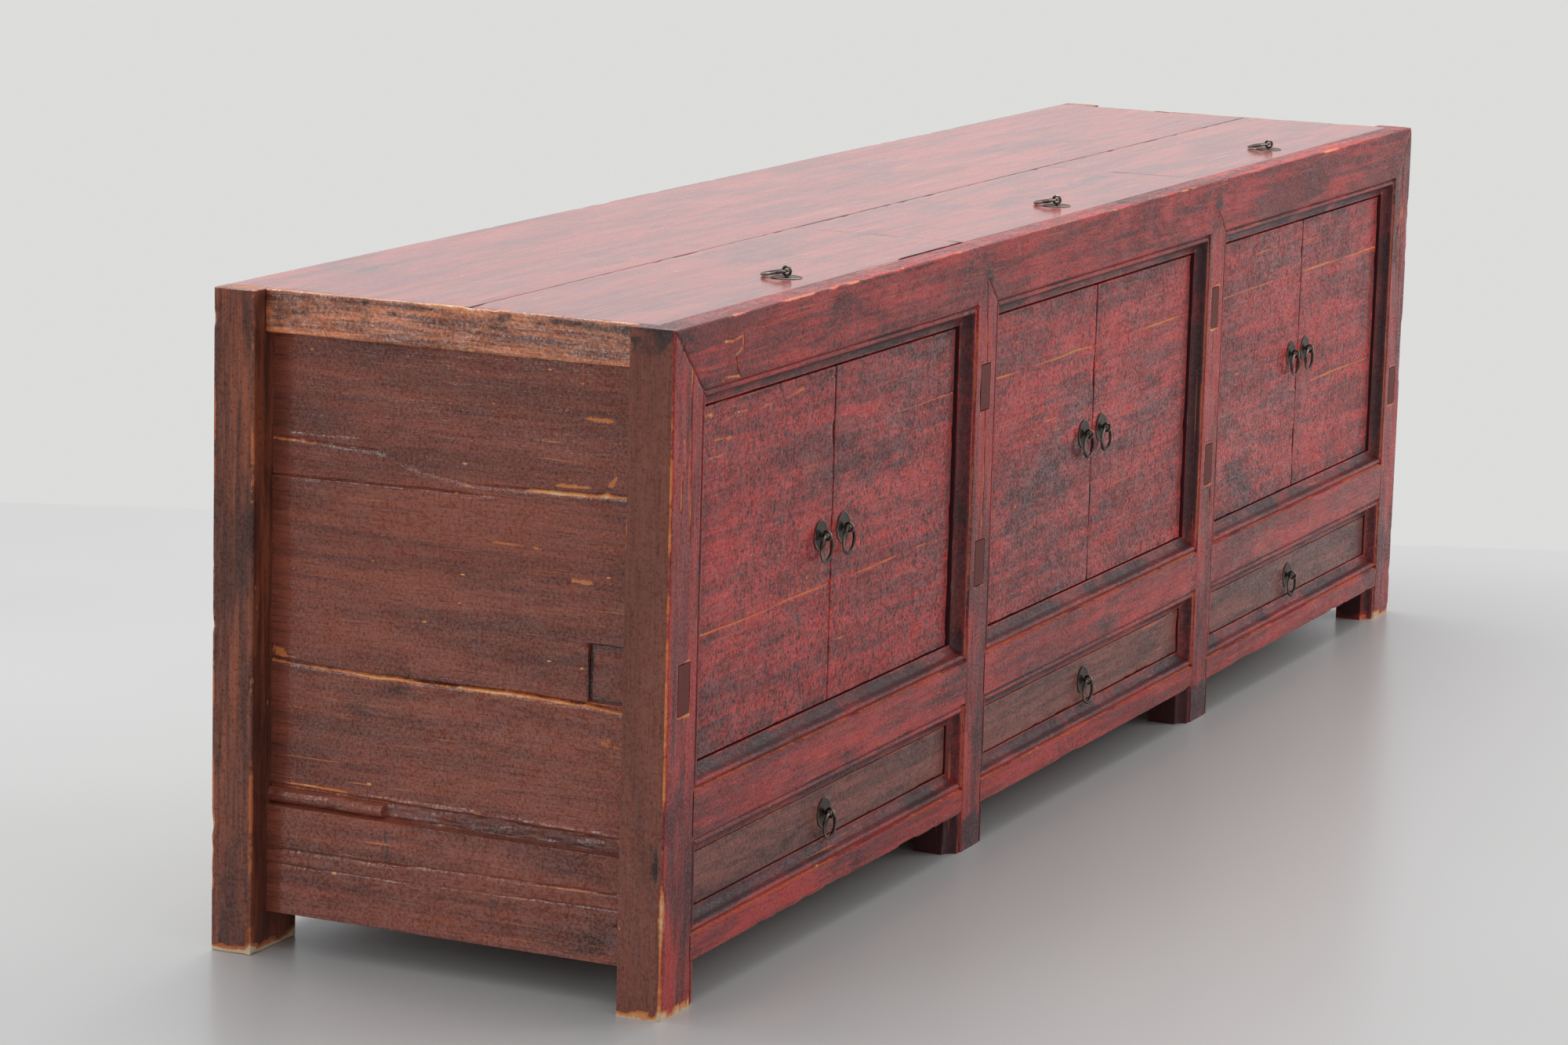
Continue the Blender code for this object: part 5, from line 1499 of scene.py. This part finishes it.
def dress_doors():
    """Six leaves, each round along its hinge side, with its pivot pins."""
    front, back = FRONT + RECESS, FRONT + RECESS + DOOR_THICK
    for bay, word in enumerate(BAYS):
        for side, leaf in ((-1, "a"), (1, "b")):
            node = f"door_{word}_{leaf}"
            low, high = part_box(node)
            free, hinge = (low.x, high.x) if side > 0 else (high.x, low.x)
            corners = [(free, front), (hinge, front), (hinge, back), (free, back)]
            shape = outline(corners, [DOOR_ARRIS, HINGE_ROUND, HINGE_ROUND, DOOR_ARRIS], 0.009)
            seams = [(height, deep) for height, deep, leaves in DOOR_SEAMS[word] if leaf in leaves]
            streaks = DOOR_STREAKS.get(node, ())
            relief = leaf_relief(seams, streaks, bay, 130 + 7 * bay + side)
            door = carried_part(shape, 2, leaf_places(seams, streaks), relief)
            pins = pivot_pins(hinge, side, low.z, high.z)
            make_piece(f"{node}_worn", node, [door, *pins], ["door"])


def dress_drawers():
    """A lacquered front on a plain box of four boards, for each drawer."""
    grid = (0.1, 0.1, 0.03)
    for bay, node in enumerate(DRAWERS):
        low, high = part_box(node)
        front = FRONT + RECESS
        start, side_high = front + WALLS_START, high.z - SIDE_DROP
        left, right = low.x + WALL_LAP, high.x - WALL_LAP
        relief = aged("x", 170 + bay, wave=0.0005, chip=0.0016, rub=0.5, dirt_and_shade=0.6)
        corners = (low.x, front, low.z), (high.x, front + DRAWER_FACE, high.z)
        parts = [box_part(*corners, 0.0014, (0.008, 0.007, 0.006), relief)]
        for corners in (
            ((low.x, start, low.z), (low.x + DRAWER_WALL, high.y, side_high)),
            ((high.x - DRAWER_WALL, start, low.z), (high.x, high.y, side_high)),
            ((left, high.y - DRAWER_WALL, low.z), (right, high.y, side_high)),
            ((left, start, low.z), (right, high.y - WALL_LAP, low.z + DRAWER_BOTTOM)),
        ):
            parts.append(box_part(*corners, 0.001, grid, plain, 1))
        make_piece(f"{node}_worn", node, parts, ["drawer", "wood x"])


def torus_part(radius, wires, segments, sides, seed):
    """A bent wire ring about the Z axis: (R + a cos v) cos u, (R + a cos v) sin u, b sin v.

    wires are a and b, the wire's half width and half height, which swell and thin a little round the ring.
    """
    u = np.linspace(0, 2 * math.pi, segments, endpoint=False)[:, None]
    v = np.linspace(0, 2 * math.pi, sides, endpoint=False)[None]
    swell = 1 + 0.07 * np.sin(2 * u + seed) + 0.05 * np.sin(5 * u + 2.1 * seed)
    out = radius + wires[0] * swell * np.cos(v)
    points = np.stack([out * np.cos(u), out * np.sin(u), wires[1] * swell * np.sin(v) + 0 * u], -1)
    index = np.arange(segments * sides).reshape(segments, sides)
    ahead, beside = np.roll(index, -1, 0), np.roll(index, -1, 1)
    faces = np.stack([index, ahead, np.roll(ahead, -1, 1), beside], -1).reshape(-1, 4).tolist()
    wear = 0.35 + 0.35 * np.cos(v) + 0.25 * np.sin(3 * u + seed)
    return points.reshape(-1, 3), faces, wear.ravel(), [0] * len(faces)


def turned_part(profile, sides, wobble):
    """A surface of revolution about the Z axis, closed at both ends.

    (radius, height) pairs are carried round it, and the radius swells and thins three times a turn by the
    wobble.
    """
    radius, height = np.array(profile, float).T
    angle = np.linspace(0, 2 * math.pi, sides, endpoint=False)
    reach = radius[:, None] * (1 + wobble * np.sin(3 * angle + 40 * wobble)[None])
    rise = np.broadcast_to(height[:, None], reach.shape)
    points = np.stack([reach * np.cos(angle), reach * np.sin(angle), rise], -1)
    wear = np.clip(radius[:, None] / PLATE_RADIUS, 0, 1) ** 6 * 0.9 * (0.7 + 0.3 * np.sin(2 * angle))
    return ring_part(points, wear)


# A plate's half section, from its back to its front: shares of its radius and of its thickness
PLATE_SHARES = (
    (0.04, 0.0), (0.90, 0.0), (0.985, 0.12), (1.0, 0.40), (0.985, 0.80), (0.95, 1.0),
    (0.90, 0.92), (0.82, 0.72), (0.5, 0.70), (0.2, 0.78), (0.04, 0.80),
)
UPRIGHT = ((1, 0, 0), (0, 0, -1), (0, 1, 0))
FLAT = ((1, 0, 0), (0, 1, 0), (0, 0, 1))
ON_EDGE = ((0, 0, 1), (0, 1, 0), (-1, 0, 0))


def plate_parts(board, number):
    """A plate with a raised rim and a shallow dish, its eye, and its pin clinched behind a board."""
    profile = [(share * PLATE_RADIUS, SEAT_GAP + rise * PLATE_THICK) for share, rise in PLATE_SHARES]
    eye = torus_part(EYE_RADIUS, (EYE_WIRE * 0.8, EYE_WIRE * 1.05), 24, 10, number)
    pin_top = EYE_HEIGHT - EYE_RADIUS
    pin = [(PIN_RADIUS, -board - 0.0006), (PIN_RADIUS, pin_top - 0.001), (PIN_TIP_RADIUS, pin_top)]
    half, thick = CLINCH_HALF, CLINCH_THICK
    corners = (-half, -thick, -board - thick), (half, thick, -board - SEAT_GAP)
    return [
        turned_part(profile, 40, 0.006 + 0.0007 * (number % 5)),
        turned(eye, ON_EDGE, (0, 0, EYE_HEIGHT)),
        turned_part(pin, 10, 0.0),
        box_part(*corners, 0.0004, (0.004, 0.002, 0.002), plain),
    ]


def dress_pulls():
    """A plate with its eye and clinched pin, and a ring through the eye, for every door, drawer and lid."""
    joints = {joint["name"]: joint for joint in frame["joints"]}
    for number, owner in enumerate(DOORS + DRAWERS + LIDS):
        hinge = np.array(joints[f"ring_{owner}_swing"]["pos_m"])
        on_lid = owner in LIDS
        turn = FLAT if on_lid else UPRIGHT
        place = hinge - np.array(turn)[:, 2] * EYE_HEIGHT
        low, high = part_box(f"pull_plate_{owner}")
        board = (place[2] - low.z if on_lid else high.y - place[1]) - CLINCH_THICK
        parts = [turned(part, turn, place) for part in plate_parts(board, number)]
        make_piece(f"pull_plate_{owner}_forged", f"pull_plate_{owner}", parts, ["iron"])
        ring = torus_part(RING_RADIUS, (RING_WIRE * 0.98, RING_WIRE * 0.92), 48, 14, number + 3)
        low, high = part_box(f"pull_ring_{owner}")
        middle = (np.array(low) + np.array(high)) / 2
        if on_lid:
            fall = math.asin(float(hinge[2] - middle[2]) / RING_RADIUS)
            turn = ((1, 0, 0), (0, math.cos(fall), math.sin(fall)), (0, -math.sin(fall), math.cos(fall)))
        make_piece(f"pull_ring_{owner}_forged", f"pull_ring_{owner}", [turned(ring, turn, middle)], ["iron"])


def dress_the_cabinet():
    """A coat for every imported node, and then the new pieces."""
    for name, thing in NODES.items():
        thing.data.materials.clear()
        thing.data.materials.append(coat_for(name))
    dress_posts()
    dress_rails()
    dress_top_rail()
    dress_top_boards()
    for side, word in SIDES:
        dress_back_post(side, word)
        dress_end_rail(side, word)
    dress_back()
    for side, word in SIDES:
        dress_end_panel(side, word)
    dress_doors()
    dress_drawers()
    dress_pulls()


def make_camera():
    """The camera at the photograph's angle: azimuth from +Y towards +X, tipped down, and rolled."""
    azimuth, drop, roll = (math.radians(angle) for angle in (CAMERA_AZIMUTH, CAMERA_DROP, CAMERA_ROLL))
    ahead = Vector((math.sin(azimuth) * math.cos(drop), math.cos(azimuth) * math.cos(drop), -math.sin(drop)))
    level = ahead.cross(Vector((0, 0, 1))).normalized()
    upright = level.cross(ahead)
    right = level * math.cos(roll) + upright * math.sin(roll)
    up = upright * math.cos(roll) - level * math.sin(roll)
    turn = Matrix((right, up, -ahead)).transposed().to_4x4()
    camera = bpy.data.cameras.new("camera")
    camera.lens = CAMERA_LENS
    camera.sensor_width = 36.0
    camera.clip_end = 100.0
    thing = bpy.data.objects.new("camera", camera)
    thing.matrix_world = Matrix.Translation(CAMERA_PLACE) @ turn
    bpy.context.scene.collection.objects.link(thing)
    bpy.context.scene.camera = thing


def make_floor():
    """A smooth pale floor that reaches back behind the cabinet."""
    mesh = bpy.data.meshes.new("floor")
    mesh.from_pydata([(x, y, 0.0) for x, y in FLOOR_CORNERS], [], [(0, 1, 2, 3)])
    floor = bpy.data.objects.new("floor", mesh)
    bpy.context.scene.collection.objects.link(floor)
    grey = Recipe("pale floor")
    cloud = grey.noise((0.5, 0.5, 0.5), 3.0, 0.5)
    colour = grey.mix(grey.step(cloud, 0.35, 0.65), (0.475, 0.472, 0.467), (0.44, 0.437, 0.431))
    mesh.materials.append(grey.finish(Base_Color=colour, Roughness=0.28, Specular_IOR_Level=0.5))


def make_world():
    """Even studio light from all round, and a plain pale background for the camera."""
    world = bpy.data.worlds.new("studio")
    world.use_nodes = True
    tree = world.node_tree
    tree.nodes.clear()

    def node(kind, **inputs):
        """A node of a kind, with plain values on its inputs."""
        made = tree.nodes.new(kind)
        for key, value in inputs.items():
            made.inputs[key].default_value = value
        return made

    light = node("ShaderNodeBackground", Color=(0.97, 0.985, 1.0, 1.0), Strength=0.72)
    seen = node("ShaderNodeBackground", Color=(0.72, 0.72, 0.712, 1.0), Strength=1.0)
    path = node("ShaderNodeLightPath")
    choice = node("ShaderNodeMixShader")
    out = tree.nodes.new("ShaderNodeOutputWorld")
    tree.links.new(path.outputs["Is Camera Ray"], choice.inputs[0])
    tree.links.new(light.outputs[0], choice.inputs[1])
    tree.links.new(seen.outputs[0], choice.inputs[2])
    tree.links.new(choice.outputs[0], out.inputs[0])
    bpy.context.scene.world = world


def make_lamp(name, place, target, size, power):
    """A soft rectangular lamp at a place, turned to a target. size is in metres and power in watts."""
    lamp = bpy.data.lights.new(name, "AREA")
    lamp.shape = "RECTANGLE"
    lamp.size, lamp.size_y = size
    lamp.energy = power
    thing = bpy.data.objects.new(name, lamp)
    thing.location = place
    thing.rotation_euler = (Vector(target) - Vector(place)).to_track_quat("-Z", "Y").to_euler()
    bpy.context.scene.collection.objects.link(thing)


dress_the_cabinet()
make_camera()
make_floor()
make_world()
make_lamp("overhead lamp", (0.6, 0.8, 3.6), (0, 0, 0.3), (4.5, 2.5), 150)
make_lamp("front lamp", (2.6, -3.9, 2.4), (0.3, 0, 0.3), (2.5, 2.0), 52)
make_lamp("end lamp", (-4.4, 1.5, 1.6), (-1.1, 0, 0.4), (1.4, 1.0), 19)
bpy.context.scene.view_settings.view_transform = "Standard"
